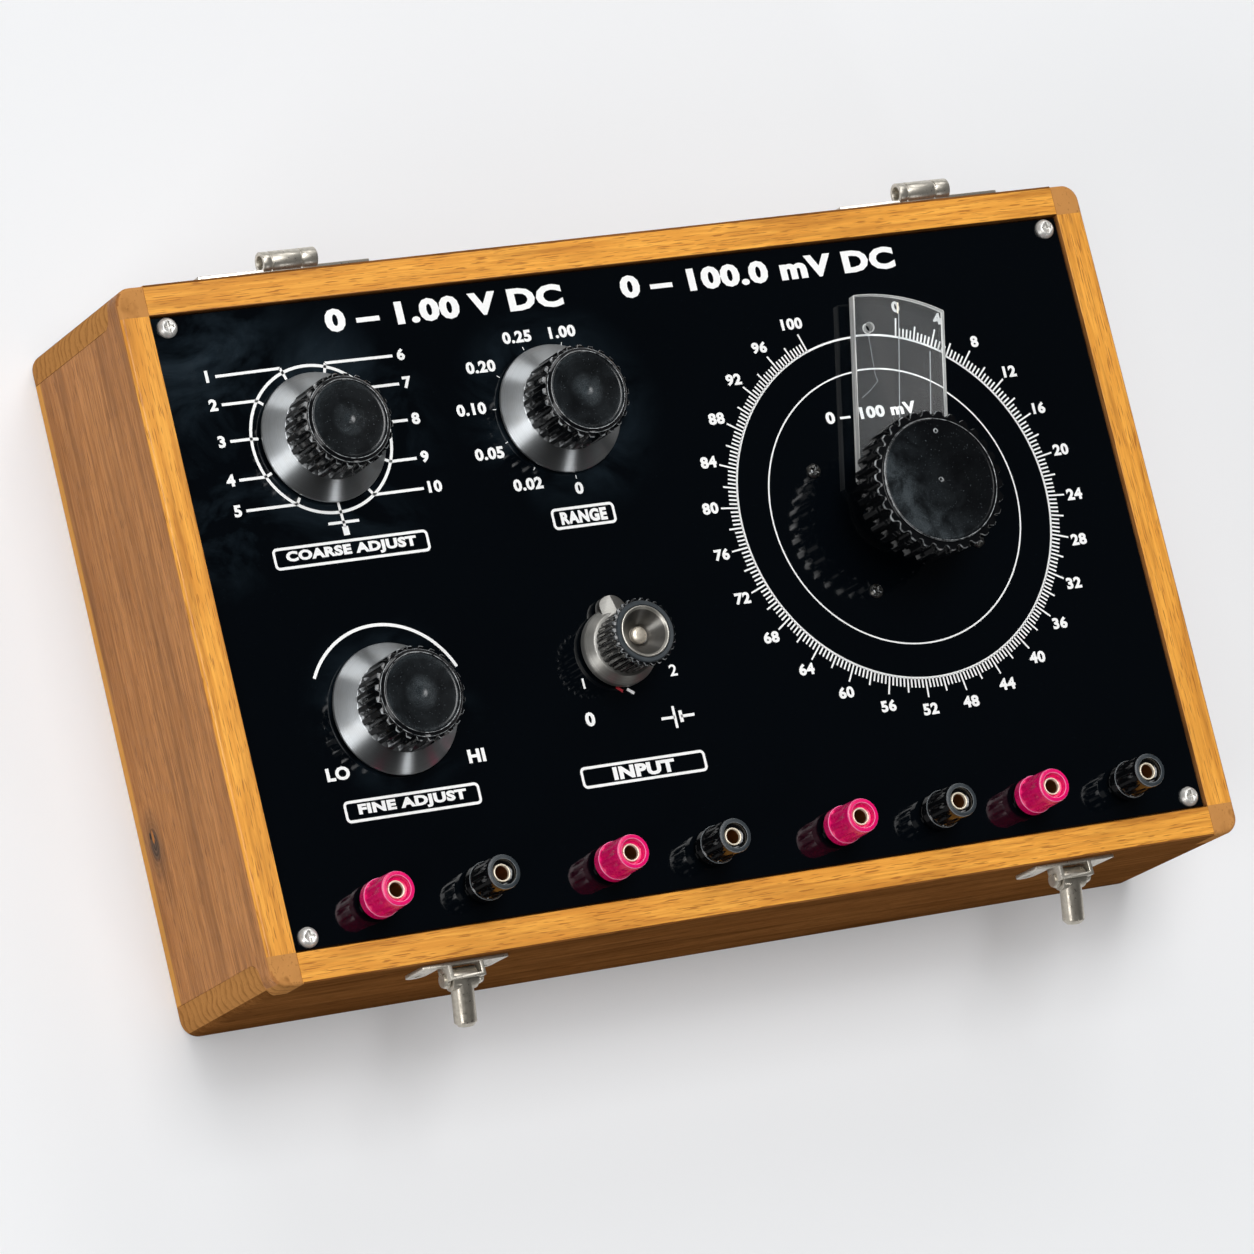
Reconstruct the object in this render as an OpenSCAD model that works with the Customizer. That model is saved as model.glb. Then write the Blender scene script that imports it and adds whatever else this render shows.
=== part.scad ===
// Bench measuring potentiometer in a shallow wooden case, lid lifted off.
// The case lies flat: X runs left to right, Y from the catches to the hinges, Z up.
// The origin is on the underside of the base board, below the middle of the panel.

/* [Case] */
// Clear width inside the wooden frame
open_w = 300; // [296:2:330]
// Clear depth inside the wooden frame
open_d = 183; // [181:1:210]
// Thickness of the case boards
board_t = 9; // [8:0.5:12]
// Height of the case
case_h = 64; // [58:1:90]
// Radius of the upright corners
corner_r = 5; // [2:0.5:7]
// Height of side board left above each corner finger
finger_drop = 7; // [5:0.5:12]
// Thickness of the base board
base_t = 4; // [3:0.5:6]
// Width of the ledge that the base board laps onto
base_lap = 5; // [4.8:0.1:6]

/* [Panel] */
// Thickness of the instrument panel
panel_t = 3; // [2:0.5:5]
// Depth of the panel face below the rim
panel_recess = 1.2; // [0.4:0.1:3]
// Gap all round the panel
panel_gap = 0.4; // [0.2:0.1:0.7]
// Width of the batten strips under the panel
batten_w = 6.5; // [5:0.5:6.5]
// Height of the batten strips
batten_h = 12; // [8:1:20]
// Corner screws, distance in from the side walls
corner_screw_x = 5; // [4:0.5:6]
// Corner screws, distance in from the front and rear walls
corner_screw_y = 3.7; // [3.4:0.1:4.2]

/* [Places on the panel] */
// Coarse knob, from the left wall
coarse_from_left = 44.1; // [42:0.1:50]
// Line knob, from the left wall
line_from_left = 46.5; // [42:0.1:50]
// Volts and selector knobs, from the left wall
mid_from_left = 119.8; // [110:0.1:125]
// Coarse and volts knobs, from the rear wall
row_from_rear = 40.4; // [38:0.1:45]
// Line knob, from the front wall
line_from_front = 63.1; // [58:0.1:70]
// Selector knob, from the front wall
selector_from_front = 71.5; // [60:0.1:75]
// Main dial, from the right wall
main_from_right = 78.5; // [76:0.1:84]
// Main dial, from the rear wall
main_from_rear = 81.2; // [76:0.1:84]
// Binding posts, from the front wall
post_from_front = 10.7; // [10.7:0.1:14]
// First binding post, from the left wall
post_from_left = 27.5; // [20:0.5:30]
// Step between the two posts of a pair
post_step = 33; // [24:0.5:34]
// Last binding post, from the right wall
post_from_right = 26; // [20:0.5:30]

/* [Skirted knobs] */
// Radius of the skirt
skirt_r = 19; // [17:0.5:20]
// Gap under the rim of a skirt
skirt_gap = 1.2; // [0.8:0.1:2]
// Thickness of the rim of a skirt
skirt_edge = 0.8; // [0.5:0.1:1.5]
// Height of the cone of a skirt
skirt_rise = 3.8; // [3:0.1:5]
// Radius of the grip
grip_r = 13.2; // [11:0.1:14]
// Height of the knob face above the panel
knob_h = 20; // [16:0.5:26]
// Number of flutes round the grip
grip_flutes = 24; // [18:1:30]
// Radius of each flute
flute_r = 1; // [0.6:0.1:1.3]
// Width of the smooth ring round the face disc
face_ring = 1; // [0.6:0.1:1.6]
// Thickness of the face disc
face_t = 0.8; // [0.5:0.1:1.5]
// Radius of a knob shaft
shaft_r = 3; // [2.5:0.1:3.2]

/* [Selector knob] */
// Radius of the selector skirt
selector_skirt_r = 11.5; // [11:0.5:14]
// Radius of the selector grip
selector_grip_r = 9.6; // [8:0.1:10]
// Height of the selector face above the panel
selector_h = 19.5; // [16:0.5:24]
// Radius of the spun dish in the face
selector_dish_r = 7.2; // [6:0.1:8]
// Reach of the pointer tab from the axis
pointer_reach = 14.8; // [13:0.1:17]
// Width of the pointer tab
pointer_w = 7; // [5:0.5:9]

/* [Main dial] */
// Radius of the main grip
main_grip_r = 20.7; // [18:0.1:23]
// Height of the main knob face above the panel
main_h = 28; // [24:0.5:34]
// Height of the fluted part of the main knob
main_grip_h = 14; // [10:0.5:16]
// Number of flutes round the main knob
main_flutes = 30; // [24:1:36]
// Radius of the neck under the main knob
main_neck_r = 10; // [8:0.5:12]
// Radius of the main shaft
main_shaft_r = 4; // [3:0.1:4.5]
// Reach of the clear cursor from the axis
cursor_reach = 62.5; // [56:0.5:64]
// Width of the cursor
cursor_w = 32; // [24:0.5:36]
// Thickness of the cursor
cursor_t = 3; // [2:0.1:4]
// Angle of the cursor at rest, clockwise from the rear
cursor_angle = 15; // [0:1:30]
// Radius of the slide wire former
former_r = 44; // [36:0.5:48]
// Thickness of the slide wire former
former_t = 8; // [6:0.5:12]
// Distance of the former screws from the axis
former_screw_r = 27.7; // [24:0.1:32]

/* [Binding posts] */
// Radius of the socket for a plug
socket_r = 2; // [1.5:0.1:2]
// Radius of the brass tube round the socket
tube_r = 2.55; // [2.5:0.05:2.8]
// Height of a post above the panel
post_h = 16; // [14:0.5:22]
// Thickness of the collar under a cap
collar_t = 2; // [1.5:0.1:3]
// Radius of the flange of a cap
cap_flange_r = 5.6; // [5.2:0.1:6]
// Radius of the fluted part of a cap
cap_r = 5; // [4.8:0.1:5.2]
// Number of flutes round a cap
cap_flutes = 10; // [8:1:14]

/* [Hinges and catches] */
// Middle of each hinge, from the side wall
hinge_from_wall = 45; // [32:1:60]
// Middle of each catch, from the side wall
catch_from_wall = 49.5; // [30:0.5:60]
// Shift of the hinges and catches towards the right
fitting_shift = 2; // [0:0.5:4]
// Radius of a hinge barrel
barrel_r = 3.1; // [2.8:0.1:4]
// Radius of the hole in a hinge barrel
barrel_bore_r = 2; // [1.5:0.1:2.2]
// Length of a hinge barrel
barrel_len = 17; // [12:0.5:24]
// Width of a hinge leaf
leaf_w = 54; // [40:1:60]
// Height of a hinge leaf
leaf_h = 18; // [14:1:26]
// Radius of a catch stud
stud_r = 3.25; // [2.5:0.05:3.5]
// Length of a catch stud from its pin to its tip
stud_len = 13.5; // [10:0.5:20]
// Droop of a catch stud below level at rest
stud_droop = 16; // [0:1:40]
// Radius of the pin of a catch
pin_r = 1.2; // [0.8:0.1:1.5]

/* [Hidden] */
$fn = 64;

// Fits
run_fit = 0.05;   // radial clearance of a turning shaft or a sliding cap
seat_fit = 0.03;  // radial clearance of a screw, pin or bush in its seat
pass_fit = 0.15;  // radial clearance of a hole that something only passes through
eps = 0.5;        // how far a cut runs past a face

// Case
case_w = open_w + 2 * board_t;
case_d = open_d + 2 * board_t;
round_r = min(corner_r, board_t - 2);
finger_top = case_h - finger_drop;
base_gap = 0.2;
wood_pilot_r = 1.2;
wood_head_r = 2.2;
wood_head_h = 1.4;
base_screw_len = 14;

// Panel
panel_z = case_h - panel_recess;
panel_low = panel_z - panel_t;
screw_x = open_w / 2 - corner_screw_x;
screw_y = open_d / 2 - corner_screw_y;
m3_r = 1.5;
m3_head_r = 2.9;
m3_head_h = 1.9;
m3_len = 12;
cross_w = 0.7;    // width of the cross slots in a screw head
cross_r = 1.6;    // reach of the cross slots from the middle
cross_share = 0.6;  // share of a head's height that the cross slots are deep
dome_lift = 0.35;   // share of a pan head's height that its dome stands above the cut

// Places of the shafts and posts
coarse_at = [coarse_from_left - open_w / 2, open_d / 2 - row_from_rear];
volts_at = [mid_from_left - open_w / 2, open_d / 2 - row_from_rear];
line_at = [line_from_left - open_w / 2, line_from_front - open_d / 2];
selector_at = [mid_from_left - open_w / 2, selector_from_front - open_d / 2];
main_at = [open_w / 2 - main_from_right, open_d / 2 - main_from_rear];
small_shafts = [coarse_at, volts_at, line_at, selector_at];
// Room between the four pairs of posts; the marks say how much of it is used up before each pair
pair_room = open_w - post_from_left - post_from_right - 4 * post_step;
pair_marks = [0, 41, 83, 114.5];
pair_x = [for (k = [0:3])
  post_from_left - open_w / 2 + k * post_step + pair_room * pair_marks[k] / pair_marks[3]];
post_x = [for (k = [0:7]) pair_x[floor(k / 2)] + (k % 2) * post_step];
post_y = post_from_front - open_d / 2;

// Bushings and switches
bush_r = 4.75;
bush_top = 3;
bush_flange_r = 7;
bush_flange_t = 2;
main_bush_r = 6.5;
main_flange_r = 9;
nut_t = 2.2;
nut_af = 12;
main_nut_af = 16;
shaft_into_knob = 9;
deck_plate_t = 1.2;
deck_t = 1.6;
deck_drop = 9;
deck_r = 19;
selector_deck_r = 13;
contact_ring = 0.72;  // contacts stand at this share of the deck radius
contact_r = 1.1;
contact_h = 0.6;
arm_gap = 0.3;
arm_w = 4;
arm_t = 1;
arm_hub = 2;          // wall of the hub round the shaft
plate_share = 0.85;   // radius of a switch plate as a share of its deck
pillar_share = 0.55;  // distance of the pillars from the shaft, in the same way
pillar_r = 1.6;
deck_places = 11;     // places for contacts round a deck
winding_h = 9;
winding_t = 5;
flange_low = panel_low - bush_flange_t;

// Skirts and knobs
skirt_top = skirt_gap + skirt_edge + skirt_rise;
skirt_wall = 1.4;
skirt_land = 0.4;     // width of skirt left flat outside the grip
ring_h = 1;           // height of the smooth ring above the flutes
flute_out = 0.1;      // how far the middle of a flute lies outside the grip
face_seat = 0.1;      // how far a face disc lies below its ring
dish_depth = 5;
dish_rim = 0.7;       // width of the flat rim of the dish
dish_floor = 0.6;     // width of the flat floor round the button
dish_seat = 0.2;      // how far the dish rim lies below its ring
button_r = 2.5;
button_h = 1.4;
selector_flute_r = 0.7;
selector_ring_in = 0.9;   // how far the smooth ring stands back from the grip
selector_edge = 2.2;      // least width of the selector skirt's cone
selector_face_r = selector_grip_r - selector_ring_in;
selector_land_r = min(selector_grip_r, selector_skirt_r - selector_edge);
tab_rise = 1.6;       // height of the pointer tab above the skirt

// Main dial
cursor_low = bush_top + 0.4;
main_flute_r = 1.25;
main_face_r = main_grip_r - main_flute_r - face_ring;
cursor_hole_r = 1.3;
cursor_hole_at = [-8, 53];
former_hole_r = 12;
small_screw_r = 1.25;
small_head_r = 2.15;
small_head_h = 1.3;
small_screw_len = 8;
former_screw_turn = 29;
slide_ring_r = 38;
slide_wire_r = 0.6;

// Binding posts
post_thread_r = 1.95;
post_tail = 12;
collar_r = 4.7;
cap_flange_h = 2.6;
cap_rim_h = 3.4;
cap_rim_in = 0.25;
cap_rim_r = cap_r - cap_rim_in;
cap_dish_r = 3.5;
cap_dish_h = 0.5;
cap_flute_r = 0.55;
post_nut_af = 7;
post_nut_t = 2.4;
tube_below = 0.2;   // how far the brass tube ends below the rim of the cap
socket_floor = 0.8; // brass left under the socket

// Resistor bobbins
bobbin_n = 6;
bobbin_r = 7;
bobbin_core_r = 5.4;
bobbin_h = 17;
bobbin_flange = 1.5;
bobbin_step = 20;

// Hinges and catches
hinge_out = open_w / 2 - hinge_from_wall;
catch_out = open_w / 2 - catch_from_wall;
leaf_t = 1.2;
leaf_drop = 1.5;
barrel_lift = 0.3;   // gap between the hole of a barrel and the face of its leaf
barrel_y = case_d / 2 + leaf_t + barrel_bore_r + barrel_lift;
barrel_drop = 2.7;
barrel_z = case_h - barrel_drop;
barrel_end = 3;      // barrel left whole past the end of its hole
barrel_deep = barrel_len - barrel_end;
groove_w = 0.5;
groove_d = 0.3;
groove_at = [2.4, barrel_len - 5.2];
catch_w = 27;
catch_h = 14;
catch_t = 1;
catch_drop = 3;
catch_top = case_h - catch_drop;
catch_screw_out = 10.3;
strip_h = 3.2;        // height of the strip that joins the two legs of a catch
leg_r = 3.2;
shelf_out = 5;
shelf_t = 1.2;
shelf_bar = 1;
ear_t = 1.2;
ear_gap = 0.35;
ear_r = 2.2;
roll_w = 8;           // width of the cross roll at the root of a stud
pin_out = stud_r + catch_t;
pin_drop = shelf_t + stud_r + ear_gap;
pin_head_r = 1.9;
pin_head_t = 0.6;
window_w = roll_w + 2 * ear_gap;
catch_screw_drop = 10.5;
hinge_screw_z = case_h - leaf_drop - 0.62 * leaf_h;
hinge_screw_len = 8;
catch_screw_len = 8;
catch_pin_y = -case_d / 2 - pin_out;
catch_pin_z = catch_top - pin_drop;
tip_chamfer = 1.2;

// Colours
oak = [0.85, 0.55, 0.22];
oak_dark = [0.62, 0.38, 0.17];
ply = [0.72, 0.55, 0.34];
panel_black = [0.03, 0.035, 0.045];
gloss_black = [0.06, 0.06, 0.07];
face_black = [0.1, 0.1, 0.11];
nickel = [0.78, 0.77, 0.74];
spun_alu = [0.75, 0.76, 0.78];
brass = [0.8, 0.65, 0.35];
copper = [0.72, 0.45, 0.25];
phenolic = [0.45, 0.27, 0.13];
slate = [0.3, 0.3, 0.32];
clear = [0.85, 0.9, 0.95, 0.35];
magenta = [0.88, 0.08, 0.43];

// Shared shapes

module place(at, z = 0) {
  translate([at[0], at[1], z]) children();
}

module case_outline() {
  square([case_w - 2 * round_r, case_d], center = true);
  square([case_w, case_d - 2 * round_r], center = true);
  for (x = [-1, 1], y = [-1, 1])
    translate([x * (case_w / 2 - round_r), y * (case_d / 2 - round_r)]) circle(r = round_r);
}

// One finger: a square bar with a round top, standing in the corner at +X, +Y
module finger() {
  half = board_t / 2;
  translate([open_w / 2, open_d / 2 + half, 0]) rotate([90, 0, 90]) linear_extrude(board_t) {
    translate([-half, 0]) square([board_t, finger_top - half]);
    translate([0, finger_top - half]) circle(r = half);
  }
}

module base_pocket() {
  translate([-open_w / 2 - base_lap, -open_d / 2 - base_lap, -eps])
    cube([open_w + 2 * base_lap, open_d + 2 * base_lap, base_t + eps]);
}

// Outline of a round bar with n grooves
module fluted_disc(r, n, cut_r) {
  difference() {
    circle(r = r);
    for (k = [0:n - 1]) rotate(k * 360 / n) translate([r + flute_out, 0]) circle(r = cut_r, $fn = 24);
  }
}

module cross_slots(depth) {
  for (a = [0, 90]) rotate(a)
    translate([-cross_r, -cross_w / 2, -depth]) cube([2 * cross_r, cross_w, depth + eps]);
}

// Domed screw with a cross slot, its head standing on z = 0
module pan_screw(shank_r, head_r, head_h, len) {
  dome_r = (head_r * head_r + head_h * head_h) / (2 * head_h);
  difference() {
    union() {
      translate([0, 0, -len]) cylinder(r = shank_r, h = len + head_h / 2);
      intersection() {
        cylinder(r = head_r, h = head_h);
        translate([0, 0, head_h * (1 + dome_lift) - dome_r]) sphere(r = dome_r);
      }
    }
    translate([0, 0, head_h]) cross_slots(head_h * cross_share);
  }
}

// Countersunk wood screw, its flat head flush with z = 0 and its shank along -Z
module wood_screw(len) {
  difference() {
    union() {
      translate([0, 0, -wood_head_h]) cylinder(r1 = wood_pilot_r, r2 = wood_head_r, h = wood_head_h);
      translate([0, 0, -len]) cylinder(r = wood_pilot_r, h = len - wood_head_h / 2);
    }
    cross_slots(wood_head_h * cross_share);
  }
}

module wood_screw_hole(len) {
  translate([0, 0, -wood_head_h]) cylinder(
    r1 = wood_pilot_r + seat_fit, r2 = wood_head_r + seat_fit, h = wood_head_h
  );
  cylinder(r = wood_head_r + seat_fit, h = eps);
  translate([0, 0, -len - seat_fit]) cylinder(r = wood_pilot_r + seat_fit, h = len);
}

// Base screws stand head down in the ledge: three along each long side, two along each short one
module at_base_screws() {
  x_out = open_w / 2 + (base_lap - base_gap) / 2;
  y_out = open_d / 2 + (base_lap - base_gap) / 2;
  for (s = [-1, 1]) {
    for (x = [-1, 0, 1]) translate([x * open_w / 3, s * y_out, 0]) rotate([180, 0, 0]) children();
    for (y = [-1, 1]) translate([s * x_out, y * open_d / 4, 0]) rotate([180, 0, 0]) children();
  }
}

module at_hinge_screws(side) {
  for (k = [-1, 0, 1]) translate([side * hinge_out + k * leaf_w / 3, case_d / 2 + leaf_t, hinge_screw_z])
    rotate([-90, 0, 0]) children();
}

module at_catch_screws(side) {
  x = side * catch_out + fitting_shift;
  for (k = [-1, 1])
    translate([x + k * catch_screw_out, -case_d / 2 - catch_t, catch_top - catch_screw_drop])
      rotate([90, 0, 0]) children();
}

// Case

module side_board(side) {
  intersection() {
    linear_extrude(case_h) case_outline();
    difference() {
      translate([side > 0 ? open_w / 2 : -case_w / 2, -case_d / 2, 0]) cube([board_t, case_d, case_h]);
      for (y = [0, 1]) mirror([side > 0 ? 0 : 1, 0, 0]) mirror([0, y, 0]) finger();
      base_pocket();
      at_base_screws() wood_screw_hole(base_screw_len);
    }
  }
}

module end_board(side) {
  intersection() {
    linear_extrude(case_h) case_outline();
    difference() {
      union() {
        translate([-open_w / 2, side > 0 ? open_d / 2 : -case_d / 2, 0]) cube([open_w, board_t, case_h]);
        for (x = [0, 1]) mirror([x, 0, 0]) mirror([0, side > 0 ? 0 : 1, 0]) finger();
      }
      base_pocket();
      at_base_screws() wood_screw_hole(base_screw_len);
      if (side > 0) for (s = [-1, 1]) at_hinge_screws(s) wood_screw_hole(hinge_screw_len);
      if (side < 0) for (s = [-1, 1]) at_catch_screws(s) wood_screw_hole(catch_screw_len);
    }
  }
}

module left_side_board() {
  color(oak_dark) side_board(-1);
}

module right_side_board() {
  color(oak_dark) side_board(1);
}

module front_board() {
  color(oak) end_board(-1);
}

module rear_board() {
  color(oak) end_board(1);
}

module base_board() {
  color(ply) difference() {
    translate([-open_w / 2 - base_lap + base_gap, -open_d / 2 - base_lap + base_gap, 0])
      cube([open_w + 2 * (base_lap - base_gap), open_d + 2 * (base_lap - base_gap), base_t]);
    at_base_screws() wood_screw_hole(base_screw_len);
  }
}

module base_screws() {
  color(nickel) at_base_screws() wood_screw(base_screw_len);
}

module at_corner_screws() {
  for (x = [-1, 1], y = [-1, 1]) translate([x * screw_x, y * screw_y, panel_z]) children();
}

module panel_battens() {
  low = panel_low - batten_h;
  color(oak_dark) difference() {
    union() {
      for (s = [0, 1]) mirror([0, s, 0])
        translate([-open_w / 2, open_d / 2 - batten_w, low]) cube([open_w, batten_w, batten_h]);
      for (s = [0, 1]) mirror([s, 0, 0])
        translate([open_w / 2 - batten_w, -open_d / 2 + batten_w, low])
          cube([batten_w, open_d - 2 * batten_w, batten_h]);
    }
    at_corner_screws() translate([0, 0, -m3_len - seat_fit]) cylinder(r = m3_r + seat_fit, h = m3_len);
  }
}

module at_former_screws() {
  for (k = [0:3]) place(main_at, panel_z)
    rotate(-former_screw_turn - 90 * k) translate([0, former_screw_r, 0]) children();
}

module panel_hole(at, r) {
  place(at, panel_low - eps) cylinder(r = r, h = panel_t + 2 * eps);
}

module instrument_panel() {
  color(panel_black) difference() {
    translate([-open_w / 2 + panel_gap, -open_d / 2 + panel_gap, panel_low])
      cube([open_w - 2 * panel_gap, open_d - 2 * panel_gap, panel_t]);
    for (at = small_shafts) panel_hole(at, bush_r + seat_fit);
    panel_hole(main_at, main_bush_r + seat_fit);
    for (x = post_x) panel_hole([x, post_y], post_thread_r + seat_fit);
    for (x = [-1, 1], y = [-1, 1]) panel_hole([x * screw_x, y * screw_y], m3_r + pass_fit);
    for (k = [0:3]) at_former_screws()
      translate([0, 0, -panel_t - eps]) cylinder(r = small_screw_r + seat_fit, h = panel_t + 2 * eps);
  }
}

module panel_screws() {
  color(nickel) at_corner_screws() pan_screw(m3_r, m3_head_r, m3_head_h, m3_len);
}

// Hinges and catches

// Half of a lift-off hinge: a leaf on the rear board and a barrel open at its left end
module hinge_half(side) {
  barrel_x = side * hinge_out + fitting_shift - barrel_len / 2;
  difference() {
    union() {
      translate([side * hinge_out - leaf_w / 2, case_d / 2, case_h - leaf_drop - leaf_h])
        cube([leaf_w, leaf_t, leaf_h]);
      translate([barrel_x, barrel_y, barrel_z]) rotate([0, 90, 0]) difference() {
        cylinder(r = barrel_r, h = barrel_len);
        for (z = groove_at) translate([0, 0, z]) difference() {
          cylinder(r = barrel_r + eps, h = groove_w);
          cylinder(r = barrel_r - groove_d, h = groove_w);
        }
      }
    }
    translate([barrel_x - eps, barrel_y, barrel_z]) rotate([0, 90, 0])
      cylinder(r = barrel_bore_r, h = barrel_deep + eps);
    at_hinge_screws(side) wood_screw_hole(hinge_screw_len);
  }
}

module hinge_left() {
  color(nickel) hinge_half(-1);
}

module hinge_right() {
  color(nickel) hinge_half(1);
}

module hinge_screws() {
  color(nickel) for (s = [-1, 1]) at_hinge_screws(s) wood_screw(hinge_screw_len);
}

// Catch plate: two screwed legs, a strip between them and a shelf with a window over the stud
module catch_plate(side) {
  ear_x = window_w / 2;
  translate([side * catch_out + fitting_shift, -case_d / 2, catch_top]) difference() {
    union() {
      translate([-catch_w / 2, -catch_t, -strip_h]) cube([catch_w, catch_t, strip_h]);
      for (s = [-1, 1]) translate([s * catch_screw_out, 0, 0]) {
        translate([-leg_r, -catch_t, leg_r - catch_h]) cube([2 * leg_r, catch_t, catch_h - leg_r]);
        translate([0, 0, leg_r - catch_h]) rotate([90, 0, 0]) cylinder(r = leg_r, h = catch_t);
      }
      translate([-ear_x - ear_t, -shelf_out, -shelf_t]) cube([window_w + 2 * ear_t, shelf_out, shelf_t]);
      for (x = [-ear_x - ear_t, ear_x]) translate([x, 0, -pin_drop]) {
        translate([0, -pin_out, 0]) rotate([0, 90, 0]) cylinder(r = ear_r, h = ear_t);
        translate([0, -pin_out, -ear_r]) cube([ear_t, pin_out, 2 * ear_r]);
        translate([0, -shelf_out, 0]) cube([ear_t, shelf_out, pin_drop]);
      }
    }
    translate([-ear_x, shelf_bar - shelf_out, -shelf_t - eps])
      cube([window_w, shelf_out - shelf_bar - catch_t, shelf_t + 2 * eps]);
    translate([-catch_w, -pin_out, -pin_drop]) rotate([0, 90, 0])
      cylinder(r = pin_r + seat_fit, h = 2 * catch_w);
    for (s = [-1, 1]) translate([s * catch_screw_out, -catch_t, -catch_screw_drop])
      rotate([90, 0, 0]) wood_screw_hole(catch_screw_len);
  }
}

module catch_plate_left() {
  color(nickel) catch_plate(-1);
}

module catch_plate_right() {
  color(nickel) catch_plate(1);
}

module catch_pins() {
  len = window_w + 2 * ear_t;
  color(nickel) for (s = [-1, 1])
    translate([s * catch_out + fitting_shift - len / 2, catch_pin_y, catch_pin_z]) rotate([0, 90, 0]) {
      cylinder(r = pin_r, h = len);
      for (z = [-pin_head_t, len]) translate([0, 0, z]) cylinder(r = pin_head_r, h = pin_head_t);
    }
}

module catch_screws() {
  color(nickel) for (s = [-1, 1]) at_catch_screws(s) wood_screw(catch_screw_len);
}

// Stud that swings on the cross pin: a roll on the pin and a round shank, drooping forward
module catch_stud(side) {
  body_len = stud_len - tip_chamfer;
  translate([side * catch_out + fitting_shift, catch_pin_y, catch_pin_z]) rotate([90 + stud_droop, 0, 0])
    difference() {
      union() {
        translate([-roll_w / 2, 0, 0]) rotate([0, 90, 0]) cylinder(r = stud_r, h = roll_w);
        cylinder(r = stud_r, h = body_len);
        translate([0, 0, body_len])
          cylinder(r1 = stud_r, r2 = stud_r - tip_chamfer, h = tip_chamfer);
      }
      translate([-roll_w, 0, 0]) rotate([0, 90, 0]) cylinder(r = pin_r + run_fit, h = 2 * roll_w);
    }
}

module catch_stud_left() {
  color(nickel) catch_stud(-1);
}

module catch_stud_right() {
  color(nickel) catch_stud(1);
}

// Bushings, nuts and switches

module bushing(at, r, flange_r, bore) {
  place(at) difference() {
    union() {
      translate([0, 0, panel_low]) cylinder(r = r, h = panel_t + bush_top);
      translate([0, 0, flange_low]) cylinder(r = flange_r, h = bush_flange_t);
    }
    translate([0, 0, flange_low - eps])
      cylinder(r = bore, h = bush_flange_t + panel_t + bush_top + 2 * eps);
  }
}

module shaft_bushings() {
  color(brass) {
    for (at = small_shafts) bushing(at, bush_r, bush_flange_r, shaft_r + run_fit);
    bushing(main_at, main_bush_r, main_flange_r, main_shaft_r + run_fit);
  }
}

module hex_nut(at, z, af, bore, t) {
  place(at, z) difference() {
    cylinder(r = af / sqrt(3), h = t, $fn = 6);
    translate([0, 0, -eps]) cylinder(r = bore, h = t + 2 * eps);
  }
}

module bushing_nuts() {
  color(nickel) {
    for (at = small_shafts) hex_nut(at, panel_z, nut_af, bush_r + seat_fit, nut_t);
    hex_nut(main_at, panel_z, main_nut_af, main_bush_r + seat_fit, nut_t);
  }
}

// Rotary switch: a steel plate under the bushing, two pillars and a contact deck
module switch_deck(at, r, contacts) {
  deck_low = flange_low - deck_plate_t - deck_drop - deck_t;
  pillar_h = deck_drop + deck_t + deck_plate_t / 2;
  place(at) difference() {
    union() {
      translate([0, 0, flange_low - deck_plate_t]) cylinder(r = r * plate_share, h = deck_plate_t);
      translate([0, 0, deck_low]) cylinder(r = r, h = deck_t);
      for (s = [-1, 1]) translate([s * r * pillar_share, 0, deck_low]) cylinder(r = pillar_r, h = pillar_h);
      for (k = [0:contacts - 1]) rotate(180 - k * 360 / deck_places)
        translate([0, r * contact_ring, deck_low - contact_h]) cylinder(r = contact_r, h = deck_t);
    }
    translate([0, 0, deck_low - eps])
      cylinder(r = shaft_r + pass_fit, h = deck_t + deck_drop + deck_plate_t + 2 * eps);
  }
}

module coarse_switch_deck() {
  color(phenolic) switch_deck(coarse_at, deck_r, deck_places);
}

module volts_switch_deck() {
  color(phenolic) switch_deck(volts_at, deck_r, 7);
}

module selector_switch_deck() {
  color(phenolic) switch_deck(selector_at, selector_deck_r, 5);
}

// Wirewound ring under the line knob, hung from a plate
module line_winding() {
  plate_low = flange_low - deck_plate_t;
  ring_low = plate_low - winding_h;
  color(copper) place(line_at) difference() {
    translate([0, 0, ring_low]) cylinder(r = deck_r, h = winding_h + deck_plate_t);
    translate([0, 0, ring_low - eps]) cylinder(r = deck_r - winding_t, h = winding_h + eps);
    translate([0, 0, plate_low - eps]) cylinder(r = shaft_r + pass_fit, h = deck_plate_t + 2 * eps);
  }
}

// Knobs

module skirt_shell(r, land_r, bore) {
  top = skirt_top;
  rotate_extrude() polygon([
    [r, skirt_gap],
    [r, skirt_gap + skirt_edge],
    [land_r, top],
    [bore, top],
    [bore, top - skirt_wall],
    [land_r - skirt_wall, top - skirt_wall],
    [r - skirt_wall, skirt_gap]
  ]);
}

module knob_skirt(at) {
  place(at, panel_z) skirt_shell(skirt_r, grip_r + skirt_land, shaft_r + seat_fit);
}

// Fluted knob with a smooth ring round its face; low is where it starts above the panel
module knob_body(r, low, top, flutes, cut_r, face, bore, bore_top) {
  difference() {
    union() {
      translate([0, 0, low]) linear_extrude(top - ring_h - low) fluted_disc(r, flutes, cut_r);
      translate([0, 0, top - ring_h - eps]) cylinder(r = face + face_ring, h = ring_h + eps);
    }
    translate([0, 0, top - face_t - face_seat]) cylinder(r = face + seat_fit, h = face_t + face_seat + eps);
    translate([0, 0, low - eps]) cylinder(r = bore, h = bore_top - low + eps);
  }
}

module plain_knob(at) {
  place(at, panel_z) knob_body(
    grip_r, skirt_top, knob_h, grip_flutes, flute_r, grip_r - 2 * face_ring, shaft_r + seat_fit,
    skirt_top + shaft_into_knob
  );
}

module plain_face(at) {
  place(at, panel_z + knob_h - face_t - face_seat) cylinder(r = grip_r - 2 * face_ring, h = face_t);
}

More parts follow.
